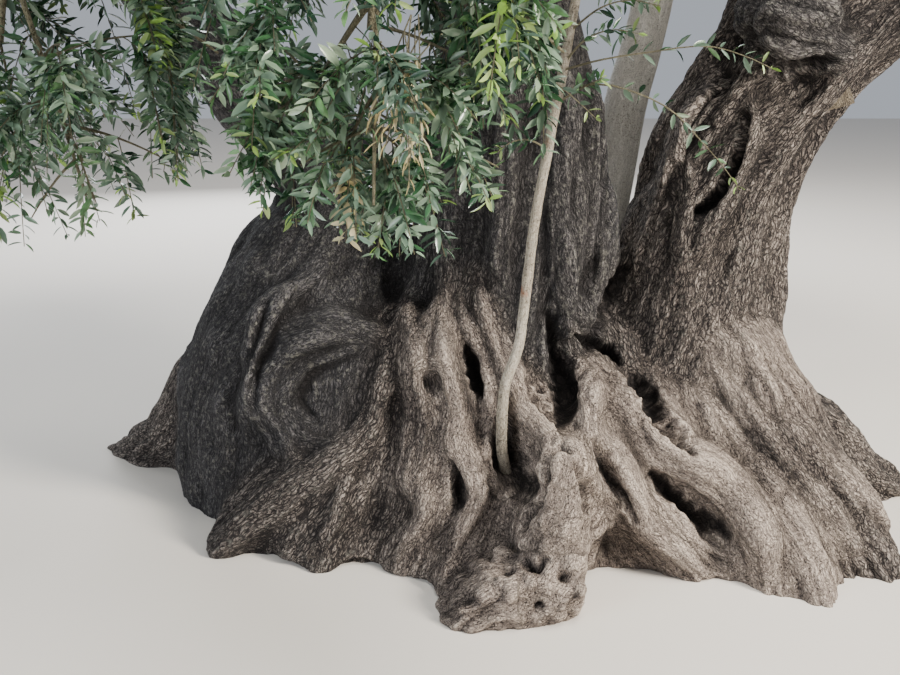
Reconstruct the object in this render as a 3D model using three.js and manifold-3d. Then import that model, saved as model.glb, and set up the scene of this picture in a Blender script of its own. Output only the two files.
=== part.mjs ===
// An ancient olive tree: a wide fused trunk with a flaring foot, three leaning boughs, a young stem,
// a sucker, the smaller boughs that carry the crown, and the crown as separate masses of twigs and leaves.
// Millimetres, +Z up. The origin is in the flat cut at ground level, and the front of the tree faces -Y.
import * as THREE from "three";
import { mergeVertices } from "three/addons/utils/BufferGeometryUtils.js";
import Module from "manifold-3d";

const wasm = await Module();
wasm.setup();

// Driving dimensions.
const clearGap = 0.4; // between touching pieces
const belowGround = 120; // how far limbs and roots run down before the flat cut is made
const trunkMiddle = [60, 150]; // plan centre of the trunk
const skirtHeight = 600; // the low dome that fills between the roots
const skirtWidth = 1300;
const skirtDepth = 640;
const rootReach = 520; // how far a root at the back runs out from the trunk's foot
const backRootCount = 8;
const backRootBearings = [14, 160]; // of the first and the last, before they are spread along the oval foot
const leafLength = 560; // each leaf of the crown stands for a spray
const smallLeafLength = 300; // in the small masses that hang low
const leafWidthShare = 0.3; // of its length
const leafThicknessShare = 0.04;
const leafRootDepth = 8; // sunk into its twig past the twig's axis
const twigRadius = 13;
const stemRadius = 34;
const branchRadius = 98; // of a branch where it leaves a great limb
const spaceMargin = 12; // kept clear between two masses
const twigCount = 6; // in each mass
const finest = 2.5; // edges shorter than this are tidied out of the foliage

const barkBrown = new THREE.MeshStandardMaterial({ color: 0x6f6152, roughness: 0.95, metalness: 0 });
const paleBark = new THREE.MeshStandardMaterial({ color: 0xa79c88, roughness: 0.85, metalness: 0 });
const leafGreen = new THREE.MeshStandardMaterial({ color: 0x5f7556, roughness: 0.6, metalness: 0 });

// Repeatable random numbers from 0 to 1.
function randomFrom(seed) {
  let state = seed >>> 0;
  return () => {
    state = (Math.imul(state, 1664525) + 1013904223) >>> 0;
    return state / 4294967296;
  };
}

// A closed three.js geometry as a solid.
function solid(geometry) {
  const bare = geometry.index ? geometry.toNonIndexed() : geometry.clone();
  bare.deleteAttribute("normal");
  bare.deleteAttribute("uv");
  const merged = mergeVertices(bare, 1e-3);
  return new wasm.Manifold(
    new wasm.Mesh({
      numProp: 3,
      vertProperties: new Float32Array(merged.attributes.position.array),
      triVerts: new Uint32Array(merged.index.array),
    }),
  );
}

// The largest body of a fused solid. Loose scraps and sealed hollows are dropped.
function largestBody(fused) {
  const bodies = fused.decompose();
  return bodies.reduce((best, body) => (body.volume() > best.volume() ? body : best));
}

// A limb is a list of stations [x, y, z, radius]. Its curve passes through all of them.
class Limb {
  constructor(stations, sides = 8, ringsPerSpan = 1) {
    this.stations = stations;
    this.sides = sides;
    this.rings = (stations.length - 1) * ringsPerSpan;
    const points = stations.map(([x, y, z]) => new THREE.Vector3(x, y, z));
    this.curve = new THREE.CatmullRomCurve3(points, false, "catmullrom", 0.5);
  }

  at(t) {
    return this.curve.getPoint(Math.min(1, Math.max(0, t)));
  }

  tangentAt(t) {
    return this.curve.getTangent(Math.min(1, Math.max(0, t))).normalize();
  }

  radiusAt(t) {
    const last = this.stations.length - 1;
    const place = Math.min(last, Math.max(0, t * last));
    const i = Math.min(last - 1, Math.floor(place));
    return THREE.MathUtils.lerp(this.stations[i][3], this.stations[i + 1][3], place - i);
  }

  // A capped cylinder whose rings are carried along the curve, each at its own radius.
  // The direction across is carried along too, so that the limb isn't twisted.
  solid(grow = 0) {
    const geometry = new THREE.CylinderGeometry(1, 1, 1, this.sides, this.rings);
    const across = new THREE.Vector3(0.13, -1, 0.21);
    const frames = Array.from({ length: this.rings + 1 }, (_, ring) => {
      const tangent = this.tangentAt(ring / this.rings);
      across.addScaledVector(tangent, -across.dot(tangent)).normalize();
      return { tangent, across: across.clone(), over: new THREE.Vector3().crossVectors(across, tangent) };
    });
    const position = geometry.attributes.position;
    for (let i = 0; i < position.count; i++) {
      const ring = Math.round((position.getY(i) + 0.5) * this.rings);
      const { tangent, across: outward, over } = frames[ring];
      const radius = this.radiusAt(ring / this.rings) + grow;
      const place = this.at(ring / this.rings);
      if (ring === 0) place.addScaledVector(tangent, -grow);
      if (ring === this.rings) place.addScaledVector(tangent, grow);
      place.addScaledVector(outward, position.getX(i) * radius);
      place.addScaledVector(over, position.getZ(i) * radius);
      position.setXYZ(i, place.x, place.y, place.z);
    }
    return solid(geometry);
  }
}

// A ridge of wood that runs along a limb at one bearing, from one share of it to another,
// with both of its ends sunk in. Bearings are in degrees anticlockwise from +X.
function ridgeOn(limb, [bearing, from, to, thick]) {
  const steps = 3;
  const angle = THREE.MathUtils.degToRad(bearing);
  const stations = Array.from({ length: steps + 1 }, (_, i) => {
    const t = THREE.MathUtils.lerp(from, to, i / steps);
    const tangent = limb.tangentAt(t);
    const outward = new THREE.Vector3(Math.cos(angle), Math.sin(angle), 0);
    outward.addScaledVector(tangent, -outward.dot(tangent)).normalize();
    const sunk = i === 0 || i === steps ? 1.3 : 0.5;
    const place = limb.at(t).addScaledVector(outward, limb.radiusAt(t) - sunk * thick);
    return [...place.toArray(), thick];
  });
  return new Limb(stations, 6);
}

// The part of space beyond a plane, as a block big enough for the tree.
function halfSpace(point, normal, offset) {
  const size = 12000;
  const block = new THREE.BoxGeometry(size, size, size);
  block.translate(0, 0, size / 2 + offset);
  block.applyQuaternion(new THREE.Quaternion().setFromUnitVectors(new THREE.Vector3(0, 0, 1), normal));
  block.translate(point.x, point.y, point.z);
  return solid(block);
}

// A rounded knot of wood.
function knot([x, y, z], [rx, ry, rz], grow = 0) {
  const ball = new THREE.IcosahedronGeometry(1, 1);
  ball.scale(rx + 2 * grow, ry + 2 * grow, rz + 2 * grow);
  ball.translate(x, y, z);
  return solid(ball);
}

// The three great limbs run from the ground, through the trunk, to the tip of their bough.
// fork is the share of the limb that belongs to the trunk.
const greatLimbs = {
  left: {
    fork: 0.5,
    limb: new Limb(
      [
        [-870, 210, -belowGround, 490],
        [-860, 200, 420, 462],
        [-735, 190, 860, 345],
        [-690, 200, 1190, 200],
        [-1010, 200, 1560, 165],
        [-1420, 190, 2080, 135],
        [-1720, 180, 2680, 98],
      ],
      10,
    ),
    ridges: [
      [-35, 0.38, 0.8, 68],
      [60, 0.2, 0.85, 80],
      [120, 0.05, 0.6, 120],
      [165, 0.1, 0.75, 84],
      [80, 0.03, 0.45, 130],
    ],
    knots: [],
  },
  middle: {
    fork: 0.5,
    limb: new Limb(
      [
        [-90, 60, -belowGround, 470],
        [-50, 50, 600, 370],
        [-30, 90, 1180, 292],
        [-60, 130, 1850, 255],
        [-30, 160, 2900, 130],
      ],
      10,
      2,
    ),
    ridges: [
      [-172, 0.14, 0.74, 96],
      [-135, 0.2, 0.86, 88],
      [-98, 0.24, 0.78, 92],
      [-58, 0.16, 0.9, 90],
      [-18, 0.2, 0.8, 96],
      [50, 0.12, 0.8, 104],
      [100, 0.08, 0.7, 110],
      [155, 0.12, 0.84, 92],
    ],
    knots: [],
  },
  right: {
    fork: 0.42,
    limb: new Limb(
      [
        [640, 110, -belowGround, 500],
        [640, 100, 620, 340],
        [720, 110, 1150, 262],
        [980, 110, 1560, 262],
        [1450, 90, 2040, 195],
        [2000, 60, 2600, 118],
      ],
      10,
      2,
    ),
    ridges: [
      [178, 0.22, 0.62, 92],
      [-148, 0.24, 0.78, 84],
      [-112, 0.2, 0.6, 88],
      [-72, 0.18, 0.86, 100],
      [-28, 0.14, 0.76, 104],
      [20, 0.12, 0.7, 108],
      [62, 0.1, 0.84, 100],
      [110, 0.1, 0.66, 112],
    ],
    knots: [
      [[880, -75, 1700], [150, 140, 150]],
      [[1000, -110, 1640], [120, 110, 110]],
    ],
  },
};

// Roots at the front and the sides, and the raised ridges of the trunk that they run down from.
const frontRoots = [
  [[-440, -150, 610, 115], [-620, -260, 300, 135], [-900, -330, 80, 115], [-1070, -400, -30, 80]], // long left slope
  [[-540, -330, 300, 60], [-620, -450, 150, 52], [-700, -560, -10, 40]], // small root on that slope
  [[-290, -170, 980, 85], [-320, -270, 680, 90], [-260, -360, 430, 95], [-340, -470, 190, 75], [-440, -560, -10, 52]],
  [[-210, -350, 450, 80], [-165, -490, 250, 62], [-300, -650, -10, 50]], // its twin
  [[-190, -200, 920, 80], [-70, -320, 590, 95], [100, -440, 350, 108], [120, -590, 190, 92], [50, -740, 50, 95]],
  [[190, -250, 650, 88], [210, -380, 440, 88], [340, -490, 220, 76], [560, -600, -15, 55]], // inner right
  [[195, -240, 670, 80], [410, -350, 430, 84], [650, -430, 220, 88], [765, -590, 60, 82], [780, -690, -50, 60]],
  [[600, -350, 330, 90], [760, -460, 190, 95], [880, -620, 50, 88], [920, -750, -40, 60]], // outer right
  [[660, -90, 580, 180], [900, -240, 310, 195], [1110, -410, 50, 150], [1200, -600, -70, 90]], // broad apron
  [[840, 40, 560, 180], [1090, 20, 250, 180], [1360, 80, 30, 140], [1580, 130, -70, 90]], // far right
  [[-770, -190, 960, 45], [-910, -230, 800, 50], [-940, -250, 560, 55], [-930, -220, 250, 65]], // rib on the left lobe
  [[130, 0, 760, 110], [120, -110, 500, 130], [40, -200, 250, 150]], // wall behind the sucker
];

// The raised rim round the shallow bowl on the left shoulder, in degrees as seen from the front.
const bowlRim = { centre: [-640, -190, 535], radius: 205, thick: 74, start: 35, end: 275 };

// The lumps on the exposed root at the front.
const footKnots = [
  [[40, -800, 70], [125, 110, 120]],
  [[-50, -770, 40], [130, 110, 85]],
  [[-190, -810, 0], [125, 120, 70]],
  [[90, -730, 140], [85, 80, 80]],
];

function rimStations({ centre: [x, y, z], radius, thick, start, end }) {
  const steps = 5;
  return Array.from({ length: steps + 1 }, (_, i) => {
    const angle = THREE.MathUtils.degToRad(THREE.MathUtils.lerp(start, end, i / steps));
    const swell = Math.sin((Math.PI * i) / steps);
    return [x + radius * Math.cos(angle), y - 40 * swell, z + radius * Math.sin(angle), thick * (0.75 + 0.25 * swell)];
  });
}

// How far the trunk's surface is from its middle at a bearing and a height.
function surfaceReach(angle, height) {
  const [ux, uy] = [Math.cos(angle), Math.sin(angle)];
  const reaches = Object.values(greatLimbs).map(({ limb }) => {
    const above = limb.stations.findIndex(([, , z]) => z > height);
    const [low, high] = [limb.stations[above - 1], limb.stations[above]];
    const share = (height - low[2]) / (high[2] - low[2]);
    const [x, y, , radius] = low.map((value, i) => THREE.MathUtils.lerp(value, high[i], share));
    const along = (x - trunkMiddle[0]) * ux + (y - trunkMiddle[1]) * uy;
    const aside = (x - trunkMiddle[0]) * uy - (y - trunkMiddle[1]) * ux;
    return Math.abs(aside) < radius ? along + Math.sqrt(radius * radius - aside * aside) : 0;
  });
  return Math.max(280, ...reaches);
}

// Roots round the back, spread evenly. Each starts as a ridge high on the trunk and swells as it goes down.
function backRoots() {
  const random = randomFrom(5);
  return Array.from({ length: backRootCount }, (_, i) => {
    const spread = THREE.MathUtils.lerp(...backRootBearings, i / (backRootCount - 1)) + 7 * (random() - 0.5);
    const turned = THREE.MathUtils.degToRad(spread);
    const angle = Math.atan2(skirtDepth * Math.sin(turned), skirtWidth * Math.cos(turned));
    const swing = THREE.MathUtils.degToRad(12 * (random() - 0.5));
    const reach = rootReach * (0.75 + 0.4 * random());
    const height = 620 + 330 * random();
    const thick = 112 + 40 * random();
    const out = (turn, level, extra) => [
      trunkMiddle[0] + Math.cos(angle + turn) * (surfaceReach(angle, level) + extra),
      trunkMiddle[1] + Math.sin(angle + turn) * (surfaceReach(angle, level) + extra),
    ];
    return [
      [...out(0, height, -0.9 * thick), height, 0.8 * thick],
      [...out(swing, 0.55 * height, -0.3 * thick), 0.55 * height, thick],
      [...out(swing, 0.2 * height, 0.18 * reach), 0.22 * height, 1.1 * thick],
      [...out(0.5 * swing, 0, 0.62 * reach), 15, 0.8 * thick],
      [...out(0, 0, reach), -0.5 * belowGround, 0.55 * thick],
    ];
  });
}

// The low dome between the roots: a profile turned about the trunk's middle and stretched to an oval.
function skirt(grow = 0) {
  const profile = [
    [0, -belowGround],
    [1, -belowGround],
    [0.97, 0],
    [0.84, 0.1 * skirtHeight],
    [0.72, 0.3 * skirtHeight],
    [0.6, 0.62 * skirtHeight],
    [0.42, 0.92 * skirtHeight],
    [0, skirtHeight],
  ].map(([r, z]) => new THREE.Vector2(r, z));
  const dome = new THREE.LatheGeometry(profile, 18);
  dome.rotateX(Math.PI / 2);
  dome.scale(skirtWidth + 3 * grow, skirtDepth + 3 * grow, 1);
  dome.translate(trunkMiddle[0], trunkMiddle[1], grow);
  return solid(dome);
}

function greatLimbSolid({ limb, ridges, knots }, grow = 0) {
  return wasm.Manifold.union([
    limb.solid(grow),
    ...ridges.map((ridge) => ridgeOn(limb, ridge).solid(grow)),
    ...knots.map(([place, size]) => knot(place, size, grow)),
  ]);
}

function rootSolids(grow = 0) {
  const roots = [...frontRoots, ...backRoots(), rimStations(bowlRim)];
  return roots.map((stations) => new Limb(stations, 6).solid(grow));
}

// The plane where a great limb passes from the trunk to its bough.
function forkPlane({ limb, fork }) {
  return [limb.at(fork), limb.tangentAt(fork)];
}

function trunk() {
  const lower = Object.values(greatLimbs).map((great) =>
    greatLimbSolid(great).subtract(halfSpace(...forkPlane(great), -clearGap / 2)),
  );
  const lumps = footKnots.map(([place, size]) => knot(place, size));
  const aboveGround = halfSpace(new THREE.Vector3(), new THREE.Vector3(0, 0, 1), 0);
  const whole = wasm.Manifold.union([...lower, ...rootSolids(), ...lumps, skirt()]);
  return largestBody(whole.intersect(aboveGround));
}

function greatBough(great) {
  return largestBody(greatLimbSolid(great).intersect(halfSpace(...forkPlane(great), clearGap / 2)));
}

// The trunk and the great boughs together, a little larger, to cut what grows out of them.
function oldWoodSkin() {
  return wasm.Manifold.union([
    ...Object.values(greatLimbs).map((great) => greatLimbSolid(great, clearGap)),
    ...rootSolids(clearGap),
    skirt(clearGap),
  ]);
}

// The bough that rises out of the fork of the right limb, the smooth young stem and the thin sucker.
const lesserLimbs = {
  bough_rising: new Limb([[960, 100, 1500, 150], [960, 60, 2050, 138], [1100, 30, 2700, 112], [1350, 20, 3250, 84]]),
  young_stem: new Limb([
    [230, 330, 450, 92],
    [330, 350, 740, 88],
    [370, 390, 1110, 85],
    [430, 410, 1500, 83],
    [520, 460, 1900, 76],
    [640, 620, 2900, 45],
  ]),
  sucker: new Limb(
    [
      [40, -330, 190, 20],
      [-50, -405, 245, 20],
      [-88, -455, 400, 19],
      [-84, -475, 610, 18],
      [-36, -460, 780, 17],
      [0, -440, 1120, 16],
      [60, -420, 1490, 15],
      [120, -400, 1850, 14],
      [180, -410, 2250, 12],
    ],
    6,
  ),
};

const carriers = {
  left: greatLimbs.left.limb,
  middle: greatLimbs.middle.limb,
  right: greatLimbs.right.limb,
  rising: lesserLimbs.bough_rising,
  young: lesserLimbs.young_stem,
  sucker: lesserLimbs.sucker,
};

// The masses of the crown: centre, half sizes, the limb that carries each, and where on that limb.
// The sprays hang low in front of the trunk, and a tuft sits on the tip of a thin stem.
const masses = {
  left_outer: { centre: [-2950, 250, 3250], half: [1050, 1150, 980], from: "left", at: 0.93 },
  left_front: { centre: [-1900, -1500, 3080], half: [980, 950, 820], from: "left", at: 0.86 },
  left_back: { centre: [-1850, 1800, 3200], half: [1050, 1000, 880], from: "left", at: 0.86 },
  left_top: { centre: [-1650, 150, 4480], half: [1150, 1200, 950], from: "left", at: 0.98 },
  middle_front: { centre: [-50, -1950, 3450], half: [980, 900, 880], from: "middle", at: 0.82 },
  middle_back: { centre: [0, 2150, 3650], half: [1080, 1000, 950], from: "middle", at: 0.8 },
  top_front: { centre: [-150, -950, 4950], half: [1100, 950, 850], from: "middle", at: 0.97 },
  top_back: { centre: [150, 1000, 5150], half: [1150, 1000, 900], from: "middle", at: 0.98 },
  right_outer: { centre: [3250, 150, 3350], half: [1100, 1150, 1000], from: "right", at: 0.95 },
  right_front: { centre: [2000, -1650, 3150], half: [1020, 980, 850], from: "right", at: 0.85 },
  right_back: { centre: [2050, 1850, 3250], half: [1080, 1000, 900], from: "right", at: 0.85 },
  right_top: { centre: [1850, 50, 4650], half: [1150, 1150, 950], from: "rising", at: 0.97 },
  spray_front: { centre: [-400, -1130, 1720], half: [500, 380, 600], from: "middle", at: 0.68, hanging: true },
  spray_left: { centre: [-1380, -700, 1740], half: [640, 500, 680], from: "left", at: 0.74, hanging: true },
  tuft_young: { centre: [720, 750, 3500], half: [620, 560, 640], from: "young", at: 1, tuft: true },
  tuft_sucker: { centre: [220, -420, 2600], half: [330, 300, 460], from: "sucker", at: 1, tuft: true },
};

// How far a mass reaches from its centre along a direction.
function reachOf({ half: [a, b, c] }, direction) {
  return 1 / Math.hypot(direction.x / a, direction.y / b, direction.z / c);
}

// The branch to a mass leaves its carrier, arches up and ends inside the mass: near the side that it comes
// from, or high in a mass that hangs.
function branchTo(mass) {
  const carrier = carriers[mass.from];
  const start = carrier.at(mass.at);
  const centre = new THREE.Vector3(...mass.centre);
  const towards = centre.clone().sub(start).normalize();
  const rise = mass.hanging ? 420 : 0.1 * centre.distanceTo(start);
  const end = mass.hanging
    ? centre.clone().setZ(mass.centre[2] + 0.62 * mass.half[2])
    : centre.clone().addScaledVector(towards, -0.72 * reachOf(mass, towards));
  const thick = Math.min(0.9 * carrier.radiusAt(mass.at), mass.hanging ? 44 : branchRadius);
  const middle = start.clone().lerp(end, 0.5).add(new THREE.Vector3(0, 0, rise));
  return new Limb(
    [
      [...start.toArray(), 1.1 * thick],
      [...middle.toArray(), 0.8 * thick],
      [...end.toArray(), 0.52 * thick],
    ],
    6,
    2,
  );
}

// The space of a mass is its ellipsoid, cut by a plane between it and each neighbour.
function spaceOf(name) {
  const mass = masses[name];
  const centre = new THREE.Vector3(...mass.centre);
  const walls = Object.entries(masses)
    .filter(([other]) => other !== name)
    .map(([, other]) => {
      const normal = new THREE.Vector3(...other.centre).sub(centre);
      const distance = normal.length();
      normal.normalize();
      const mine = reachOf(mass, normal);
      const share = mine / (mine + reachOf(other, normal));
      return { normal, limit: distance * share - spaceMargin / 2 };
    });
  return (point) => {
    const from = point.clone().sub(centre);
    const [a, b, c] = mass.half;
    if (Math.hypot(from.x / a, from.y / b, from.z / c) > 1) return false;
    return walls.every(({ normal, limit }) => from.dot(normal) < limit);
  };
}

// Balls along the limbs, to test that foliage stays off the wood.
function woodBalls(limbs) {
  const spacing = 50;
  return limbs.flatMap((limb) => {
    const steps = Math.ceil(limb.curve.getLength() / spacing);
    return Array.from({ length: steps + 1 }, (_, i) => ({
      place: limb.at(i / steps),
      radius: limb.radiusAt(i / steps),
    }));
  });
}

function offTheWood(wood, from, to, pad) {
  const steps = 5;
  const probes = Array.from({ length: steps + 1 }, (_, i) => from.clone().lerp(to, i / steps));
  return probes.every((probe) => wood.every(({ place, radius }) => place.distanceTo(probe) > radius + pad));
}

// A leaf is a flat double pyramid on a triangle. It starts at its base and points along a direction.
function leafGeometry(base, along, side, length) {
  const leaf = new THREE.SphereGeometry(1, 3, 2);
  leaf.rotateY(Math.PI / 2);
  leaf.scale((leafWidthShare * length) / Math.sqrt(3), length / 2, (leafThicknessShare * length) / 1.5);
  const face = new THREE.Vector3().crossVectors(side, along);
  const placed = new THREE.Matrix4().makeBasis(side, along, face);
  placed.setPosition(base.clone().addScaledVector(along, length / 2));
  return leaf.applyMatrix4(placed);
}

function insideSpace(geometry, inSpace) {
  const corner = new THREE.Vector3();
  const position = geometry.attributes.position;
  return Array.from({ length: position.count }, (_, i) => i).every((i) =>
    inSpace(corner.fromBufferAttribute(position, i)),
  );
}

// A tapering twig with a small bend.
function slender(start, end, radius, sides) {
  const middle = start.clone().lerp(end, 0.5);
  middle.z += 0.07 * start.distanceTo(end);
  return new Limb(
    [
      [...start.toArray(), 1.2 * radius],
      [...middle.toArray(), radius],
      [...end.toArray(), 0.7 * radius],
    ],
    sides,
  );
}

// The leaves of one twig, turned round it one after another, and one that carries on from its tip.
function leavesOn(twig, places, length, random, fits) {
  const turn = 2 * Math.PI * random();
  return places.flatMap((place, i) => {
    const along = twig.tangentAt(place);
    const spin = turn + 2.3 * i;
    const sideways = new THREE.Vector3(Math.cos(spin), Math.sin(spin), random() - 0.5);
    sideways.addScaledVector(along, -sideways.dot(along)).normalize();
    const spread = place > 0.95 ? 0.1 : 0.75 + 0.3 * random();
    const direction = along.clone().multiplyScalar(Math.cos(spread)).addScaledVector(sideways, Math.sin(spread));
    const side = new THREE.Vector3().crossVectors(direction, sideways.applyAxisAngle(along, 2 * random() - 1));
    const base = twig.at(place).addScaledVector(direction, -leafRootDepth);
    const leaf = leafGeometry(base, direction, side.normalize(), length * (0.85 + 0.3 * random()));
    return fits(leaf, base, direction) ? [solid(leaf)] : [];
  });
}

// A mass of foliage: one stem, and twigs that leave it towards points spread evenly over its space.
function foliage(name, bough, wood, seed) {
  const mass = masses[name];
  const small = mass.hanging || mass.tuft;
  const random = randomFrom(seed);
  const inSpace = spaceOf(name);
  const centre = new THREE.Vector3(...mass.centre);
  const half = new THREE.Vector3(...mass.half);
  const length = small ? smallLeafLength : leafLength;
  const places = small ? [0.42, 0.7, 0.98] : [0.35, 0.58, 0.8, 0.98];
  const thin = small ? 0.6 : 1;
  const heart = centre.clone().addScaledVector(bough.tangentAt(1), 0.3 * Math.min(...mass.half));
  const stem = slender(bough.at(0.97), heart, thin * stemRadius, 4);
  const fits = (leaf, base, direction) =>
    insideSpace(leaf, inSpace) &&
    offTheWood(wood, base, base.clone().addScaledVector(direction, length), 0.5 * leafWidthShare * length);
  const pieces = [stem.solid()];
  const golden = Math.PI * (3 - Math.sqrt(5));
  for (let k = 0; k < twigCount; k++) {
    const level = 1 - (2 * (k + 0.5)) / twigCount;
    const turn = golden * k + 0.5 * (random() - 0.5) + seed;
    const flat = Math.sqrt(1 - level * level);
    const outward = new THREE.Vector3(flat * Math.cos(turn), flat * Math.sin(turn), level).multiply(half);
    const start = stem.at(0.35 + 0.6 * ((0.618 * k + 0.3) % 1));
    let share = 0.98;
    while (share > 0.4 && !inSpace(centre.clone().addScaledVector(outward, share))) share -= 0.03;
    const reach = centre.clone().addScaledVector(outward, share);
    const end = reach.clone().lerp(start, (0.95 * length) / Math.max(1.6 * length, reach.distanceTo(start)));
    if (!offTheWood(wood, start.clone().lerp(end, 0.25), end, 3 * twigRadius)) continue;
    const twig = slender(start, end, thin * twigRadius, 3);
    pieces.push(twig.solid(), ...leavesOn(twig, places, length, random, fits));
  }
  const fused = wasm.Manifold.union(pieces).simplify(finest);
  return largestBody(fused.subtract(bough.solid(clearGap)));
}

// A solid as a named mesh of the scene.
function meshOf(name, body, material) {
  const { vertProperties, triVerts } = body.getMesh();
  const geometry = new THREE.BufferGeometry();
  geometry.setAttribute("position", new THREE.BufferAttribute(new Float32Array(vertProperties), 3));
  geometry.setIndex(new THREE.BufferAttribute(new Uint32Array(triVerts), 1));
  geometry.computeVertexNormals();
  const mesh = new THREE.Mesh(geometry, material);
  mesh.name = name;
  return mesh;
}

const tree = new THREE.Group();
tree.add(meshOf("trunk", trunk(), barkBrown));
for (const [name, great] of Object.entries(greatLimbs)) {
  tree.add(meshOf(`bough_${name}`, greatBough(great), barkBrown));
}

// Each later limb is cut by the ones before it, so that it meets them at a clear gap.
let skin = oldWoodSkin();
function addLimb(name, limb, material) {
  tree.add(meshOf(name, largestBody(limb.solid().subtract(skin)), material));
  skin = skin.add(limb.solid(clearGap));
}

for (const [name, limb] of Object.entries(lesserLimbs)) {
  addLimb(name, limb, name === "bough_rising" ? barkBrown : paleBark);
}
const boughs = {};
for (const [name, mass] of Object.entries(masses)) {
  boughs[name] = mass.tuft ? carriers[mass.from] : branchTo(mass);
  if (!mass.tuft) addLimb(`branch_${name}`, boughs[name], barkBrown);
}

const everyLimb = [...Object.values(carriers), ...Object.values(boughs)];
for (const [i, name] of Object.keys(masses).entries()) {
  const others = woodBalls(everyLimb.filter((limb) => limb !== boughs[name]));
  tree.add(meshOf(`foliage_${name}`, foliage(name, boughs[name], others, 3 + 7 * i), leafGreen));
}

export default tree;
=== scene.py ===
import math
import bpy
import bmesh
import numpy as np
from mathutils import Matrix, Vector


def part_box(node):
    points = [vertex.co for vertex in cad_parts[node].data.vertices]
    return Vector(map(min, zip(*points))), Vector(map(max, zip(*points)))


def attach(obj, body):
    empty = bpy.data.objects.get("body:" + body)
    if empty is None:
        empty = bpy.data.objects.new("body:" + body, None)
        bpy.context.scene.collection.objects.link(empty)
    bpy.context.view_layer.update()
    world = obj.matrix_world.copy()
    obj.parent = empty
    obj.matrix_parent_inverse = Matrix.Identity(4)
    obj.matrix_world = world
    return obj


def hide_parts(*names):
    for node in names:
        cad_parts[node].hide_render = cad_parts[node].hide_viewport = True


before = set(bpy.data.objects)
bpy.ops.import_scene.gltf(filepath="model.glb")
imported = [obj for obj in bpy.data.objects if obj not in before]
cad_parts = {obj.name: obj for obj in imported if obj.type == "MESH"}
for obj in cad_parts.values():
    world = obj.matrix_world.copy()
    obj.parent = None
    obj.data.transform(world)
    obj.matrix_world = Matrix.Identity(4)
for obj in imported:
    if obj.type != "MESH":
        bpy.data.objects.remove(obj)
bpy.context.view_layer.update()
print("frame loaded:", len(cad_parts), "nodes")

# the camera stands at eye height and looks a little down, as the photograph does
viewValues = {"place": (-0.26, -3.3, 1.6), "downDegrees": 16.1, "lens": 36.92, "sensor": 36.0}

camera = bpy.data.cameras.new("viewpoint")
camera.lens = viewValues["lens"]
camera.sensor_width = viewValues["sensor"]
cameraObject = bpy.data.objects.new("viewpoint", camera)
cameraObject.location = viewValues["place"]
cameraObject.rotation_euler = (math.radians(90 - viewValues["downDegrees"]), 0, 0)
bpy.context.collection.objects.link(cameraObject)
bpy.context.scene.camera = cameraObject


# numbers, paths and meshes shared by all the pieces

def unit(v):
    return v / np.maximum(np.linalg.norm(v, axis=-1, keepdims=True), 1e-9)


def mixed(a, b, share):
    return a + (b - a) * share


def fadeBetween(low, high, x):
    t = np.clip((x - low) / (high - low), 0, 1)
    return t * t * (3 - 2 * t)


# the noise: how many directions it knows, and the primes that pick one of them for a corner
noiseValues = {"seed": 11, "directions": 32768, "primes": (73856093, 19349663, 83492791)}
gradientTable = unit(np.random.default_rng(noiseValues["seed"]).normal(size=(noiseValues["directions"], 3)))


def waver(p):
    # gradient noise: at each corner of the cell round p, the dot of a random direction with the way to p,
    # blended by 6t^5 - 15t^4 + 10t^3 on each axis; about -0.6 to 0.6
    cell = np.floor(p).astype(np.int64)
    f = p - cell
    fade = f * f * f * (f * (f * 6 - 15) + 10)
    total = np.zeros(len(p))
    for corner in np.ndindex(2, 2, 2):
        picked = np.bitwise_xor.reduce((cell + corner) * noiseValues["primes"], axis=1)
        weight = np.prod(np.where(corner, fade, 1 - fade), axis=1)
        total += weight * ((f - corner) * gradientTable[picked & (noiseValues["directions"] - 1)]).sum(1)
    return total


def spanAt(place, count):
    # which span of a path of so many points a place lies in, and how far along that span it is
    i = np.minimum(place.astype(int), count - 2)
    return i, place - i


def pathThrough(stations, perSpan):
    # Catmull-Rom curve through the stations (x, y, z, radius in millimetres), ends carried on straight
    p = np.array(stations, float) * 0.001
    ends = np.vstack([2 * p[0] - p[1], p, 2 * p[-1] - p[-2]])
    i, f = spanAt(np.linspace(0, len(p) - 1, (len(p) - 1) * perSpan + 1), len(p))
    f = f[:, None]
    a, b, c, d = (ends[i + k] for k in range(4))
    curve = 0.5 * (
        2 * b + (c - a) * f + (2 * a - 5 * b + 4 * c - d) * f ** 2 + (3 * b - a - 3 * c + d) * f ** 3
    )
    curve[:, 3] = mixed(b, c, f)[:, 3]
    return curve


def pathAt(curve, share):
    # place, direction and radius at shares 0 to 1 of a path
    i, f = spanAt(np.clip(np.atleast_1d(share), 0, 1) * (len(curve) - 1), len(curve))
    f = f[:, None]
    here = mixed(curve[i], curve[i + 1], f)
    tangents = unit(np.gradient(curve[:, :3], axis=0))
    return here[:, :3], unit(mixed(tangents[i], tangents[i + 1], f)), here[:, 3]


def framesAlong(curve):
    # a direction across the path, carried along it so that nothing twists, and the one square to both
    tangents = unit(np.gradient(curve[:, :3], axis=0))
    across = np.array([0.13, -1.0, 0.21])
    sides = []
    for tangent in tangents:
        across = unit(across - tangent * np.dot(across, tangent))
        sides.append(across)
    sides = np.array(sides)
    return tangents, sides, np.cross(sides, tangents)


def lengthAlong(curve):
    return np.concatenate([[0], np.cumsum(np.linalg.norm(np.diff(curve[:, :3], axis=0), axis=1))])


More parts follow.
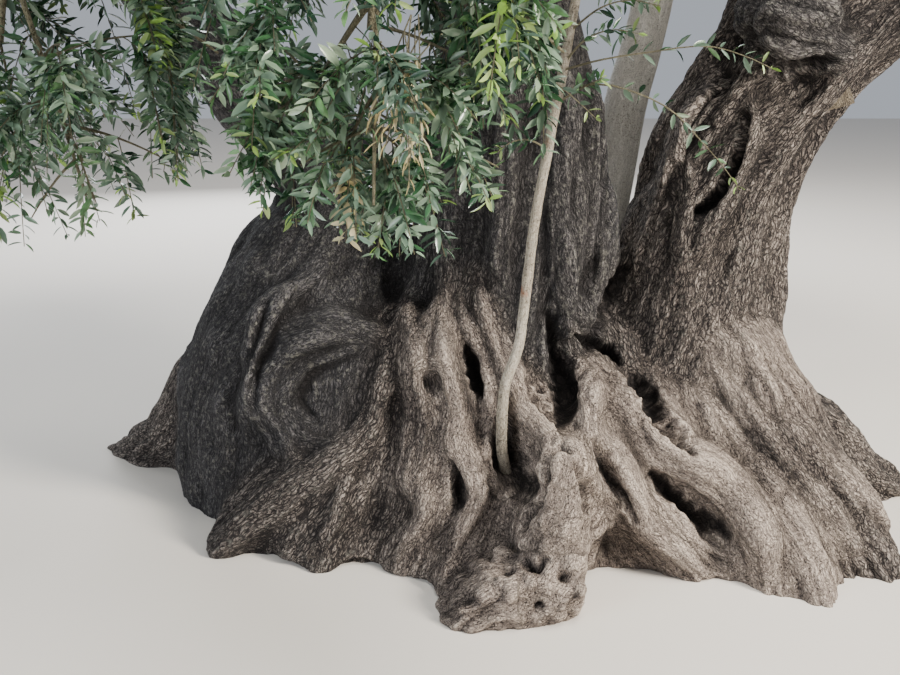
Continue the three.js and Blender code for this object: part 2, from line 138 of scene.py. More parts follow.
def meshFromArrays(name, points, faces):
    # faces is a list of whole arrays, one for each number of corners
    mesh = bpy.data.meshes.new(name)
    corners = np.concatenate([f.ravel() for f in faces]).astype(np.int32)
    sizes = np.concatenate([np.full(len(f), f.shape[1]) for f in faces])
    starts = np.concatenate([[0], np.cumsum(sizes)[:-1]]).astype(np.int32)
    mesh.vertices.add(len(points))
    mesh.vertices.foreach_set("co", np.ascontiguousarray(points, np.float32).ravel())
    mesh.loops.add(len(corners))
    mesh.loops.foreach_set("vertex_index", corners)
    mesh.polygons.add(len(sizes))
    mesh.polygons.foreach_set("loop_start", starts)
    mesh.polygons.foreach_set("use_smooth", np.ones(len(sizes), bool))
    mesh.update(calc_edges=True)
    return mesh


def addPiece(name, mesh, nodes, materials):
    piece = bpy.data.objects.new(name, mesh)
    bpy.context.collection.objects.link(piece)
    for material in materials:
        mesh.materials.append(material)
    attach(piece, "root")
    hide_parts(*nodes)


def setVectors(mesh, name, values):
    attribute = mesh.attributes.new(name, "FLOAT_VECTOR", "POINT")
    attribute.data.foreach_set("vector", np.ascontiguousarray(values, np.float32).ravel())


def anglesRound(sides):
    return np.linspace(0, 2 * math.pi, sides, endpoint=False)


def circleRound(across, over, angle):
    # cos a across + sin a over, for every angle at every place of a path
    return across[..., None, :] * np.cos(angle)[:, None] + over[..., None, :] * np.sin(angle)[:, None]


def ringFaces(rings, sides, turned=False):
    # four-cornered faces between neighbouring rings of points, and a fan of triangles at each end, to the two
    # points that follow the rings; turned for rings that run the other way round
    ring, side = np.meshgrid(np.arange(rings - 1), np.arange(sides), indexing="ij")
    a, b = ring * sides + side, ring * sides + (side + 1) % sides
    k = np.arange(sides)
    after = (k + 1) % sides
    first, last = np.full(sides, rings * sides), np.full(sides, rings * sides + 1)
    top = (rings - 1) * sides
    if turned:
        quads, fans = (a, b, b + sides, a + sides), [(first, after, k), (last, top + k, top + after)]
    else:
        quads, fans = (a, a + sides, b + sides, b), [(first, k, after), (last, top + after, top + k)]
    return np.stack(quads, -1).reshape(-1, 4), np.vstack([np.stack(fan, -1) for fan in fans])


def tubeArrays(curve, sides):
    # a circle of points carried along the path: place + radius (cos a across + sin a over),
    # closed by a point half a radius past each end
    tangents, across, over = framesAlong(curve)
    rings = curve[:, None, :3] + circleRound(across, over, anglesRound(sides)) * curve[:, None, 3:4]
    ends = curve[[0, -1], :3] + tangents[[0, -1]] * curve[[0, -1], 3:4] * [[-0.5], [0.5]]
    return np.vstack([rings.reshape(-1, 3), ends]), *ringFaces(len(curve), sides)


def joinTubes(tubes):
    # several tubes as one list of points, quads and triangles
    shifts = np.cumsum([0] + [len(points) for points, quads, ends in tubes])
    return (
        np.vstack([points for points, quads, ends in tubes]),
        np.vstack([quads + shift for (points, quads, ends), shift in zip(tubes, shifts)]),
        np.vstack([ends + shift for (points, quads, ends), shift in zip(tubes, shifts)]),
    )


# the limbs of the tree, with the same stations (x, y, z, radius in millimetres) as the solids; a ridge is a
# bearing in degrees, where it starts and ends as shares of the limb, and how thick it is
greatLimbs = {
    "left": {
        "fork": 0.5,
        "stations": [
            (-870, 210, -120, 490), (-860, 200, 420, 462), (-735, 190, 860, 345), (-690, 200, 1190, 200),
            (-1010, 200, 1560, 165), (-1420, 190, 2080, 135), (-1720, 180, 2680, 98),
        ],
        "ridges": [
            (-35, 0.38, 0.8, 68), (60, 0.2, 0.85, 80), (120, 0.05, 0.6, 120), (165, 0.1, 0.75, 84),
            (80, 0.03, 0.45, 130),
        ],
    },
    "middle": {
        "fork": 0.5,
        "stations": [
            (-90, 60, -120, 470), (-50, 50, 600, 370), (-30, 90, 1180, 292), (-60, 130, 1850, 255),
            (-30, 160, 2900, 130),
        ],
        "ridges": [
            (-172, 0.14, 0.74, 96), (-135, 0.2, 0.86, 88), (-98, 0.24, 0.78, 92), (-58, 0.16, 0.9, 90),
            (-18, 0.2, 0.8, 96), (50, 0.12, 0.8, 104), (100, 0.08, 0.7, 110), (155, 0.12, 0.84, 92),
        ],
    },
    "right": {
        "fork": 0.42,
        "stations": [
            (640, 110, -120, 500), (640, 100, 620, 340), (720, 110, 1150, 262), (980, 110, 1560, 262),
            (1450, 90, 2040, 195), (2000, 60, 2600, 118),
        ],
        "ridges": [
            (178, 0.36, 0.62, 92), (-148, 0.24, 0.78, 84), (-112, 0.2, 0.6, 88), (-72, 0.18, 0.86, 100),
            (-28, 0.14, 0.76, 104), (20, 0.12, 0.7, 108), (62, 0.1, 0.84, 100), (110, 0.1, 0.66, 112),
        ],
    },
}

lesserLimbs = {
    "bough_rising": [
        (960, 100, 1500, 150), (960, 60, 2050, 138), (1100, 30, 2700, 112), (1350, 20, 3250, 84),
    ],
    "young_stem": [
        (230, 330, 450, 92), (330, 350, 740, 88), (370, 390, 1110, 85), (430, 410, 1500, 83),
        (520, 460, 1900, 76), (640, 620, 2900, 45),
    ],
    "sucker": [
        (40, -330, 190, 20), (-50, -405, 245, 20), (-88, -455, 400, 19), (-84, -475, 610, 18),
        (-36, -460, 780, 17),
        (0, -440, 1120, 16), (60, -420, 1490, 15), (120, -400, 1850, 14), (180, -410, 2250, 12),
    ],
}

# the roots at the front, each with the wood whose relief it has
frontRoots = [
    ("root", [(-440, -150, 610, 115), (-620, -260, 300, 135), (-900, -330, 80, 115), (-1070, -400, -30, 80)]),
    ("root", [(-540, -330, 300, 60), (-620, -450, 150, 52), (-700, -560, -10, 40)]),
    ("root", [
        (-290, -170, 980, 85), (-320, -270, 680, 90), (-260, -360, 430, 95), (-340, -470, 190, 75),
        (-440, -560, -10, 52),
    ]),
    ("root", [(-210, -350, 450, 80), (-165, -490, 250, 62), (-300, -650, -10, 50)]),
    ("root", [
        (-190, -200, 920, 80), (-70, -320, 590, 95), (100, -440, 350, 108), (120, -590, 190, 92),
        (50, -740, 50, 95),
    ]),
    ("root", [(190, -250, 650, 88), (210, -380, 440, 88), (340, -490, 220, 76), (560, -600, -15, 55)]),
    ("root", [
        (195, -240, 670, 80), (410, -350, 430, 84), (650, -430, 220, 88), (765, -590, 60, 82),
        (780, -690, -50, 60),
    ]),
    ("root", [(600, -350, 330, 90), (760, -460, 190, 95), (880, -620, 50, 88), (920, -750, -40, 60)]),
    ("stem", [(660, -90, 580, 180), (900, -240, 310, 195), (1110, -410, 50, 150), (1200, -600, -70, 90)]),
    ("stem", [(840, 40, 560, 180), (1090, 20, 250, 180), (1360, 80, 30, 140), (1580, 130, -70, 90)]),
    ("lobe", [(-770, -190, 960, 45), (-910, -230, 800, 50), (-940, -250, 560, 55), (-930, -220, 250, 65)]),
    ("root", [(130, 0, 760, 110), (120, -110, 500, 130), (40, -200, 250, 150)]),
]

# the rim of the bowl, a part of an upright circle (millimetres and degrees)
bowlRim = {
    "centre": (-640, -190, 535), "radius": 205, "thick": 74, "thinEnds": 0.75, "forward": 40,
    "start": 35, "end": 275, "stations": 6,
}

# knots of wood: middle and half sizes
knots = [
    ((880, -75, 1700), (150, 140, 150)), ((1000, -110, 1640), (120, 110, 110)),
    ((40, -800, 70), (125, 110, 120)),
    ((-50, -770, 40), (130, 110, 85)), ((-190, -810, 0), (125, 120, 70)), ((90, -730, 140), (85, 80, 80)),
]

# the foot: its middle, how far it goes below the ground, and the low dome of wood between the roots
footValues = {
    "middle": (60, 150), "belowGround": 120, "leastReach": 280,
    "skirtHeight": 600, "skirtWidth": 1300, "skirtDepth": 640, "skirtFront": 720, "skirtSides": 48,
    "skirtProfile": [(0.98, 0), (0.9, 0.13), (0.79, 0.34), (0.66, 0.66), (0.45, 0.95), (0.2, 1.0)],
}

# the roots round the back: bearings and swings in degrees; the pairs are the least and what chance adds
backRootValues = {
    "count": 8, "seed": 5, "bearings": (14, 160), "jitter": 7, "swing": 12,
    "reach": (0.75 * 520, 0.4 * 520), "height": (620, 330), "thick": (112, 40),
}


def repeatableNumbers(seed):
    # the same chain of random numbers as the solids use
    state = seed
    while True:
        state = (state * 1664525 + 1013904223) % 4294967296
        yield state / 4294967296


def surfaceReach(angle, height):
    # how far the great limbs reach from the foot's middle at a bearing and a height
    ux, uy = math.cos(angle), math.sin(angle)
    middle = footValues["middle"]
    best = footValues["leastReach"]
    for great in greatLimbs.values():
        stations = np.array(great["stations"], float)
        above = int(np.argmax(stations[:, 2] > height))
        low, high = stations[above - 1], stations[above]
        x, y, z, radius = mixed(low, high, (height - low[2]) / (high[2] - low[2]))
        along = (x - middle[0]) * ux + (y - middle[1]) * uy
        aside = (x - middle[0]) * uy - (y - middle[1]) * ux
        if abs(aside) < radius:
            best = max(best, along + math.sqrt(radius * radius - aside * aside))
    return best


def backRoots():
    # each leaves the wood at a height, swings aside, thickens near the ground, and runs out below it
    draw = repeatableNumbers(backRootValues["seed"])
    count = backRootValues["count"]
    middle = footValues["middle"]
    roots = []
    for i in range(count):
        turned = mixed(*backRootValues["bearings"], i / (count - 1))
        turned = math.radians(turned + backRootValues["jitter"] * (next(draw) - 0.5))
        angle = math.atan2(
            footValues["skirtDepth"] * math.sin(turned), footValues["skirtWidth"] * math.cos(turned)
        )
        swing = math.radians(backRootValues["swing"] * (next(draw) - 0.5))
        sizes = [backRootValues[key] for key in ("reach", "height", "thick")]
        reach, height, thick = (least + more * next(draw) for least, more in sizes)
        root = []
        for turn, level, extra, z, radius in (
            (0, height, -0.9 * thick, height, 0.8 * thick),
            (swing, 0.55 * height, -0.3 * thick, 0.55 * height, thick),
            (swing, 0.2 * height, 0.18 * reach, 0.22 * height, 1.1 * thick),
            (0.5 * swing, 0, 0.62 * reach, 15, 0.8 * thick),
            (0, 0, reach, -0.5 * footValues["belowGround"], 0.55 * thick),
        ):
            far = surfaceReach(angle, level) + extra
            root.append((
                middle[0] + math.cos(angle + turn) * far, middle[1] + math.sin(angle + turn) * far, z, radius,
            ))
        roots.append(root)
    return roots


def ridgeOn(stations, ridge):
    # a ridge that runs along a limb at one bearing, with its ends sunk in
    bearing, start, end, thick = ridge
    curve = pathThrough(stations, 24)
    place, tangent, radius = pathAt(curve, np.linspace(start, end, 4))
    outward = np.array([math.cos(math.radians(bearing)), math.sin(math.radians(bearing)), 0.0])
    outward = unit(outward - tangent * (tangent @ outward)[:, None])
    sunk = np.array([1.3, 0.5, 0.5, 1.3])[:, None] * thick
    place = place * 1000 + outward * (radius[:, None] * 1000 - sunk)
    return [(*spot, thick) for spot in place]


def rimStations(rim):
    # stations round a part of an upright circle; those in the middle are thicker and lie farther forward
    share = np.linspace(0, 1, rim["stations"])
    angle = np.radians(mixed(rim["start"], rim["end"], share))
    swell = np.sin(math.pi * share)
    x, y, z = rim["centre"]
    return list(zip(
        x + rim["radius"] * np.cos(angle), y - rim["forward"] * swell, z + rim["radius"] * np.sin(angle),
        rim["thick"] * mixed(rim["thinEnds"], 1, swell),
    ))


# the old wood: strands joined, fused into one skin, and given the bark's relief

# the relief of each kind of wood, in metres: how deep, and how wide and long, its flutes, fibres and plates
# are, and how deep its lumps; tone runs from 0, dark and smooth, to 1, pale
barkColumns = ("flute", "fluteSize", "fibre", "fibreSize", "plate", "plateSize", "lump", "tone")
# the low tones of the lobe, the middle stem and the smooth ridge are painted shade: that wood is darkened as
# if it stood in shade
barkRows = {
    "stem": (0.024, (0.075, 0.9), 0.007, (0.024, 0.35), 0.004, (0.015, 0.05), 0.012, 0.5),
    "midstem": (0.024, (0.075, 0.9), 0.007, (0.024, 0.35), 0.004, (0.015, 0.05), 0.012, 0.05),
    "root": (0.018, (0.06, 0.9), 0.004, (0.022, 0.5), 0.0015, (0.014, 0.08), 0.016, 1.0),
    "apron": (0.02, (0.07, 0.9), 0.005, (0.024, 0.3), 0.003, (0.015, 0.05), 0.014, 0.95),
    "lobe": (0.012, (0.11, 0.6), 0.003, (0.026, 0.16), 0.002, (0.018, 0.03), 0.016, 0.0),
    "burl": (0.018, (0.07, 0.1), 0.005, (0.024, 0.04), 0.002, (0.014, 0.02), 0.026, 1.0),
    "smooth": (0.005, (0.1, 0.6), 0.0015, (0.026, 0.4), 0.0008, (0.018, 0.05), 0.006, 0.0),
    "fold": (0.022, (0.06, 0.2), 0.006, (0.02, 0.07), 0.003, (0.012, 0.02), 0.016, 0.08),
}
barkKinds = {kind: dict(zip(barkColumns, row)) for kind, row in barkRows.items()}

woodValues = {
    "limbSteps": 14, "ridgeSteps": 8, "rootSteps": 10, "cleftSteps": 20, "tubeSides": 20,
    "firstVoxel": 0.014, "voxel": 0.0084, "smoothRounds": 4,
    "closeLow": 0.075, "closeHigh": 0.022, "closeBetween": (0.4, 0.9), "heart": (0.06, 0.15, 0.0),
    "blend": 0.02, "reach": 0.12, "depthRoom": 0.25,
    "ridgeWidth": 1.35, "ridgeHeight": 0.85, "lobeRidges": 0.6,
    "limbEnds": (0.36, 0, 0.1), "lobeEnds": (0.36, 0.3, 0.1), "backEnds": (0.3, 0, 0.08),
    "rimEnds": (0.3, 0.3, 0.06), "webEnds": (0.3, 0, 0.04), "thinnest": 0.4,
    "bendSize": (0.22, 0.22, 0.3), "bend": 0.07, "fineSize": 0.05, "fineBend": 0.012,
    "billow": 2.6, "valley": 0.55, "lumpSize": 0.16,
    "cleftRoom": 0.06, "cleftUneven": 0.8, "cleftUnevenSize": (0.028, 0.028, 0.04),
    "twistPerMetre": 0.4, "seedStep": 7.31, "raisedUnit": 0.004, "openUnit": 0.02, "lookRounds": (10, 90),
    # how far the tone falls towards the left, and between which x: painted shade of the left side, with more
    # lichen there
    "shadeAndLichenLeft": 0.42, "shadeAndLichenBetween": (-0.7, -0.12),
    "splitDepth": 0.1, "splitLeft": -0.42, "splitRight": 0.36, "boughEdges": (-0.45, 0.48, 0.5),
}

# broad wood between the roots, fused with them before the finer ridges are laid on
webs = [
    ("lobe", [(-560, -40, 760, 150), (-600, -110, 540, 190), (-640, -180, 300, 190), (-740, -260, 60, 170)]),
    ("root", [(-380, -60, 700, 120), (-420, -170, 430, 150), (-480, -290, 200, 150), (-560, -400, -10, 110)]),
    ("root", [(-250, -120, 640, 120), (-290, -240, 400, 140), (-300, -360, 180, 130), (-330, -480, -20, 90)]),
    ("root", [(-120, -110, 560, 110), (-120, -260, 300, 130), (-110, -430, 80, 120), (-90, -560, -40, 90)]),
    ("root", [(200, -60, 480, 110), (270, -230, 240, 120), (330, -380, 20, 100)]),
    ("root", [(470, -60, 620, 130), (560, -200, 400, 150), (680, -330, 170, 150), (780, -450, -10, 110)]),
    ("apron", [(640, -40, 800, 150), (760, -120, 600, 190), (900, -190, 360, 190), (1040, -280, 120, 160)]),
    ("stem", [(785, 20, 1945, 78), (742, 60, 1793, 66), (690, 110, 1678, 54), (625, 110, 1563, 46)]),
    ("root", [(94, -520, 440, 62), (101, -570, 352, 74), (74, -640, 270, 78), (44, -700, 200, 80)]),
    ("stem", [(350, -10, 720, 90), (380, -60, 600, 110), (430, -120, 460, 120)]),
    ("root", [(-430, -40, 780, 90), (-440, -120, 640, 120), (-480, -190, 480, 130)]),
    ("root", [(-640, -250, 330, 130), (-760, -290, 200, 140), (-900, -310, 90, 130), (-1010, -320, 0, 110)]),
    ("root", [(-600, -360, 210, 100), (-700, -430, 100, 100), (-800, -480, 0, 80)]),
    ("root", [(-60, -330, 330, 110), (-60, -430, 180, 110), (-80, -560, 40, 100), (-120, -640, -30, 80)]),
    ("root", [(330, -400, 220, 90), (420, -480, 90, 90), (520, -540, -20, 70)]),
]

# finer ridges, each laid along the ridge it follows on the front of the trunk
veins = [
    ("lobe", [
        (-813, -205, 887, 26), (-852, -216, 834, 26), (-883, -217, 738, 28), (-936, -247, 634, 30),
        (-966, -273, 550, 34), (-971, -276, 475, 34), (-965, -269, 343, 30),
    ]),
    ("lobe", [
        (-562, -259, 728, 32), (-638, -262, 736, 40), (-717, -264, 730, 45), (-814, -266, 687, 48),
        (-887, -271, 606, 48), (-915, -276, 516, 48), (-897, -279, 420, 46), (-844, -294, 335, 44),
        (-781, -332, 280, 40), (-699, -395, 253, 32),
    ]),
    ("lobe", [
        (-566, -268, 695, 16), (-677, -262, 641, 22), (-755, -267, 609, 26), (-815, -282, 555, 28),
        (-838, -292, 492, 28), (-818, -309, 416, 28), (-750, -330, 372, 26), (-655, -352, 375, 22),
    ]),
    ("lobe", [(-746, -290, 435, 12), (-679, -309, 417, 13), (-605, -320, 429, 13), (-549, -319, 473, 11)]),
    ("root", [
        (-462, -214, 682, 40), (-469, -237, 627, 45), (-503, -280, 521, 52), (-543, -320, 425, 58),
        (-622, -348, 344, 62), (-726, -371, 261, 62), (-831, -385, 177, 60), (-990, -418, 64, 55),
        (-1110, -435, -16, 45),
    ]),
    ("root", [
        (-595, -391, 289, 22), (-611, -413, 254, 26), (-632, -459, 190, 28), (-659, -502, 135, 28),
        (-696, -548, 63, 22),
    ]),
    ("root", [
        (-380, -184, 970, 36), (-390, -232, 848, 45), (-402, -289, 740, 45), (-385, -343, 626, 44),
        (-374, -379, 513, 44), (-385, -422, 364, 48), (-391, -444, 290, 44), (-347, -487, 193, 36),
        (-383, -527, 122, 32), (-442, -570, 60, 26),
    ]),
    ("root", [
        (-290, -226, 891, 34), (-274, -291, 743, 40), (-270, -339, 660, 45), (-226, -387, 516, 46),
        (-233, -432, 412, 50), (-197, -469, 345, 46), (-168, -521, 261, 38), (-214, -558, 176, 34),
        (-273, -606, 101, 26),
    ]),
    ("lobe", [(-273, -433, 336, 18), (-253, -451, 246, 24), (-270, -463, 189, 24), (-290, -483, 139, 18)]),
    ("root", [
        (-337, -372, 670, 15), (-300, -375, 650, 16), (-283, -382, 603, 16), (-300, -388, 556, 16),
        (-340, -389, 538, 15), (-381, -385, 558, 15), (-394, -377, 608, 15), (-377, -371, 652, 15),
        (-337, -372, 670, 15),
    ]),
    ("root", [
        (-173, -254, 925, 34), (-136, -307, 818, 38), (-93, -344, 710, 43), (-47, -385, 608, 44),
        (-5, -424, 530, 47), (57, -459, 466, 48), (107, -496, 407, 46),
    ]),
    ("root", [
        (-243, -249, 907, 26), (-199, -303, 779, 30), (-163, -337, 694, 32), (-129, -360, 596, 32),
        (-115, -402, 479, 34), (-130, -446, 378, 36), (-104, -502, 281, 30),
    ]),
    ("root", [
        (123, -465, 429, 50), (117, -502, 381, 60), (81, -555, 299, 66), (91, -629, 240, 70),
        (69, -728, 188, 75),
    ]),
    ("root", [
        (222, -317, 680, 62), (206, -363, 600, 58), (205, -415, 506, 54), (212, -464, 400, 46),
        (242, -499, 312, 40), (275, -522, 240, 34),
    ]),
    ("root", [
        (243, -307, 656, 54), (288, -345, 569, 60), (348, -374, 493, 66), (408, -396, 423, 68),
        (494, -426, 355, 68), (592, -446, 320, 72), (668, -482, 257, 68), (727, -537, 186, 62),
        (767, -607, 114, 54), (769, -673, 33, 36),
    ]),
    ("root", [
        (248, -435, 470, 50), (295, -487, 346, 50), (345, -532, 241, 50), (390, -562, 159, 44),
        (474, -585, 95, 36), (563, -615, 28, 28),
    ]),
    ("root", [(373, -486, 259, 34), (464, -518, 180, 34), (534, -553, 110, 30), (600, -591, 65, 24)]),
    ("root", [(447, -174, 589, 30), (491, -230, 514, 32), (542, -308, 424, 34), (563, -391, 372, 30)]),
    ("apron", [(795, -228, 613, 50), (918, -330, 429, 50), (1083, -418, 271, 46), (1239, -488, 131, 40)]),
    ("apron", [(683, -255, 604, 40), (811, -344, 416, 42), (966, -440, 237, 42), (1103, -535, 63, 36)]),
    ("apron", [(615, -253, 511, 34), (737, -327, 373, 36), (885, -423, 222, 36), (992, -554, 92, 32)]),
    ("stem", [
        (697, 99, 1739, 34), (627, 111, 1665, 36), (572, 108, 1552, 36), (527, 99, 1472, 36),
        (480, 86, 1344, 36), (440, 63, 1206, 42), (426, 53, 1106, 36), (373, 35, 1006, 36),
        (326, -8, 898, 36), (296, -51, 766, 34),
    ]),
    ("stem", [
        (696, 57, 1631, 34), (641, 50, 1543, 38), (591, 36, 1461, 40), (539, 14, 1372, 40),
        (512, -15, 1282, 40), (491, -47, 1182, 40), (463, -51, 1100, 42), (427, -43, 982, 45),
        (391, -53, 839, 46),
    ]),
    ("stem", [
        (550, -40, 1404, 28), (555, -68, 1287, 34), (556, -98, 1170, 46), (541, -120, 1070, 36),
        (531, -146, 934, 30),
    ]),
    ("stem", [
        (757, -87, 1523, 30), (758, -128, 1410, 36), (742, -146, 1295, 38), (687, -148, 1178, 38),
        (625, -156, 1076, 34), (586, -181, 959, 30),
    ]),
    ("midstem", [(-69, -159, 1540, 30), (-75, -203, 1350, 34), (-84, -240, 1124, 36), (-92, -271, 892, 34)]),
    ("midstem", [
        (52, -131, 1635, 32), (41, -155, 1379, 36), (24, -195, 1117, 36), (6, -246, 851, 36),
        (-8, -280, 720, 30),
    ]),
    ("midstem", [
        (176, -40, 1702, 34), (136, -122, 1442, 38), (103, -185, 1184, 38), (101, -207, 975, 36),
        (155, -216, 780, 36), (204, -236, 692, 30),
    ]),
    ("midstem", [(253, 13, 1604, 30), (242, -25, 1369, 34), (227, -67, 1132, 34), (216, -118, 964, 28)]),
    ("smooth", [
        (345, -20, 1290, 50), (330, -40, 1160, 50), (313, -46, 1022, 50), (295, -38, 904, 46),
        (273, -51, 792, 38), (247, -113, 678, 24),
    ]),
    ("midstem", [
        (105, -234, 1189, 28), (129, -234, 1056, 34), (145, -248, 939, 36), (173, -224, 818, 32),
        (227, -127, 682, 20),
    ]),
    ("root", [(94, -552, 424, 46), (101, -592, 362, 56), (74, -653, 287, 56), (44, -714, 232, 50)]),
]

# swollen wood along short paths
burls = [
    ("burl", [(80, -690, 130, 80), (60, -770, 90, 110), (20, -820, 50, 110)]),
    ("burl", [(-20, -780, 50, 110), (-110, -800, 20, 115), (-200, -810, -20, 105)]),
    ("fold", [(765, -95, 1760, 98), (850, -115, 1705, 132), (955, -115, 1695, 116)]),
]

# the knotty burl on the exposed root, and the hanging burl under the fork of the right stem
lumps = [
    ((-88, -716, 140), (40, 36, 34)), ((-13, -734, 192), (42, 38, 34)), ((63, -772, 200), (40, 36, 36)),
    ((112, -820, 166), (38, 38, 38)),
    ((121, -862, 105), (46, 40, 42)), ((54, -886, 66), (52, 42, 46)), ((-5, -858, 130), (40, 34, 34)),
    ((-75, -858, 112), (46, 40, 36)),
    ((-152, -850, 80), (46, 42, 36)), ((-206, -868, 40), (46, 42, 40)), ((-51, -868, 40), (44, 40, 38)),
    ((98, -716, 256), (40, 34, 34)),
    ((832, -150, 1740), (125, 110, 110)), ((778, -95, 1775), (95, 90, 85)),
    ((930, -130, 1765), (100, 90, 90)),
    ((862, -165, 1675), (85, 70, 58)), ((785, -105, 1700), (62, 65, 60)), ((950, -165, 1690), (65, 60, 55)),
]

# dark clefts: how deep (metres), and where they run and how wide they are (millimetres)
clefts = [
    (0.085, [
        (733, -105, 1468, 9), (725, -132, 1427, 13), (715, -145, 1375, 15), (687, -149, 1296, 15),
        (641, -158, 1210, 16), (598, -169, 1154, 15), (576, -175, 1121, 9),
    ]),
    (0.055, [
        (678, -45, 1610, 16), (645, -43, 1558, 18), (609, -40, 1512, 20), (581, -42, 1462, 20),
        (559, -48, 1412, 14),
    ]),
    (0.040, [
        (710, -53, 1636, 16), (631, -71, 1466, 22), (564, -75, 1340, 24), (499, -69, 1202, 26),
        (448, -61, 1043, 26), (401, -52, 896, 24),
    ]),
    (0.065, [
        (74, -250, 800, 20), (96, -274, 725, 26), (114, -317, 650, 30), (124, -364, 590, 30),
        (122, -404, 525, 26), (112, -450, 462, 18),
    ]),
    (0.030, [(230, -126, 959, 12), (206, -176, 849, 16), (208, -213, 754, 14), (232, -169, 669, 10)]),
    (0.050, [(366, -35, 920, 12), (333, -51, 833, 16), (288, -85, 730, 14), (250, -143, 661, 10)]),
    (0.060, [
        (140, -247, 688, 9), (194, -208, 698, 13), (265, -161, 674, 14), (321, -152, 638, 13),
        (351, -176, 608, 9),
    ]),
    (0.080, [
        (388, -216, 561, 18), (429, -306, 512, 26), (472, -385, 469, 26), (517, -447, 429, 22),
        (542, -491, 398, 12),
    ]),
    (0.045, [(47, -544, 399, 12), (32, -556, 310, 16), (-1, -579, 232, 14), (-27, -600, 172, 10)]),
    (0.040, [(148, -581, 402, 10), (175, -597, 312, 14), (187, -629, 229, 14), (176, -682, 162, 12)]),
    (0.040, [(55, -552, 424, 10), (93, -547, 453, 12), (137, -558, 433, 10)]),
    (0.050, [(8, -368, 613, 16), (33, -394, 572, 20), (62, -414, 533, 20), (92, -430, 504, 14)]),
    (0.045, [
        (221, -474, 433, 14), (246, -494, 378, 18), (272, -516, 316, 20), (304, -542, 250, 18),
        (341, -567, 190, 14),
    ]),
    (0.050, [
        (459, -280, 219, 14), (520, -307, 166, 20), (574, -358, 125, 22), (621, -446, 120, 22),
        (662, -544, 113, 16),
    ]),
    (0.055, [
        (-206, -302, 705, 7), (-192, -322, 668, 11), (-179, -328, 621, 13), (-165, -340, 575, 12),
        (-155, -343, 533, 7),
    ]),
    (0.040, [(-257, -477, 356, 10), (-240, -481, 300, 14), (-236, -451, 220, 15), (-253, -353, 111, 12)]),
    (0.030, [
        (-876, -264, 856, 12), (-913, -275, 753, 16), (-972, -256, 640, 18), (-1023, -222, 511, 20),
        (-1030, -216, 365, 18),
    ]),
    (0.030, [(-846, -168, 778, 10), (-884, -235, 688, 14), (-926, -274, 603, 16), (-938, -302, 474, 14)]),
    (0.018, [
        (-553, -253, 668, 14), (-665, -201, 608, 16), (-754, -214, 553, 18), (-779, -254, 485, 18),
        (-745, -261, 421, 14),
    ]),
    (0.055, [
        (-81, -391, 450, 36), (-75, -400, 380, 50), (-55, -420, 310, 56), (-16, -430, 262, 50),
        (21, -474, 250, 36),
    ]),
    (0.060, [
        (752, 0, 1734, 16), (752, -71, 1668, 20), (783, -123, 1616, 22), (843, -150, 1591, 22),
        (919, -173, 1597, 22), (977, -203, 1634, 18),
    ]),
    (0.040, [(-35, -787, 169, 12), (-6, -814, 164, 15), (31, -796, 175, 12)]),
    (0.035, [(70, -836, 160, 9), (78, -848, 152, 12), (85, -859, 144, 10)]),
    (0.030, [(-121, -815, 131, 9), (-90, -812, 143, 12), (-72, -809, 155, 10)]),
    (0.030, [(5, -902, 90, 8), (-3, -900, 75, 11), (-11, -897, 60, 9)]),
]

# swellings and dents: middle, size and height (metres)
swellings = [
    ((-0.336, -0.40, 0.607), 0.036, -0.036), ((-1.107, -0.1, 0.66), 0.07, 0.025),
    ((-1.042, -0.2, 0.49), 0.07, 0.025),
    ((-0.961, -0.04, 0.93), 0.08, 0.02), ((-0.64, -0.28, 0.50), 0.12, -0.03),
    ((1.14, -0.05, 1.42), 0.22, -0.075), ((1.03, -0.05, 1.21), 0.22, -0.07),
    ((1.22, -0.05, 1.62), 0.2, -0.04),
]


def thinnedEnds(curve, start, finish, inward):
    # a strand thins out and sinks over a share of its length at its start and at its finish, so that it grows
    # out of the wood
    share = np.linspace(0, 1, len(curve))
    full = fadeBetween(0, start, share) if start else np.ones(len(curve))
    if finish:
        full = full * (1 - fadeBetween(1 - finish, 1, share))
    curve = curve.copy()
    towards = unit(np.array(woodValues["heart"]) - curve[:, :3] * (0.6, 1, 0))
    curve[:, :3] += towards * ((1 - full) * inward)[:, None]
    curve[:, 3] *= mixed(woodValues["thinnest"], 1, full)
    return curve


def coarseStrands():
    # the great limbs with their ridges, the roots, the rim of the bowl and the webs between them
    strands = []
    steps = woodValues["rootSteps"]
    for name, great in greatLimbs.items():
        kind = {"left": "lobe", "middle": "midstem", "right": "stem"}[name]
        strands.append((kind, pathThrough(great["stations"], woodValues["limbSteps"])))
        for ridge in great["ridges"]:
            strands.append((kind, pathThrough(ridgeOn(great["stations"], ridge), woodValues["ridgeSteps"])))
    for kind, stations in frontRoots:
        ends = woodValues["lobeEnds" if kind == "lobe" else "limbEnds"]
        strands.append((kind, thinnedEnds(pathThrough(stations, steps), *ends)))
    for stations in backRoots():
        strands.append(("root", thinnedEnds(pathThrough(stations, steps), *woodValues["backEnds"])))
    rim = pathThrough(rimStations(bowlRim), woodValues["ridgeSteps"])
    strands.append(("lobe", thinnedEnds(rim, *woodValues["rimEnds"])))
    for kind, stations in webs:
        strands.append((kind, thinnedEnds(pathThrough(stations, steps), *woodValues["webEnds"])))
    strands += [(kind, pathThrough(stations, steps)) for kind, stations in burls]
    return strands


def seenFrom(points):
    # how far across, how far up and how far away a place is from the photograph's viewpoint
    down = math.radians(viewValues["downDegrees"])
    away = points - np.array(viewValues["place"])
    depth = away[:, 1] * math.cos(down) - away[:, 2] * math.sin(down)
    up = away[:, 1] * math.sin(down) + away[:, 2] * math.cos(down)
    return np.array([away[:, 0] / depth, up / depth, depth])


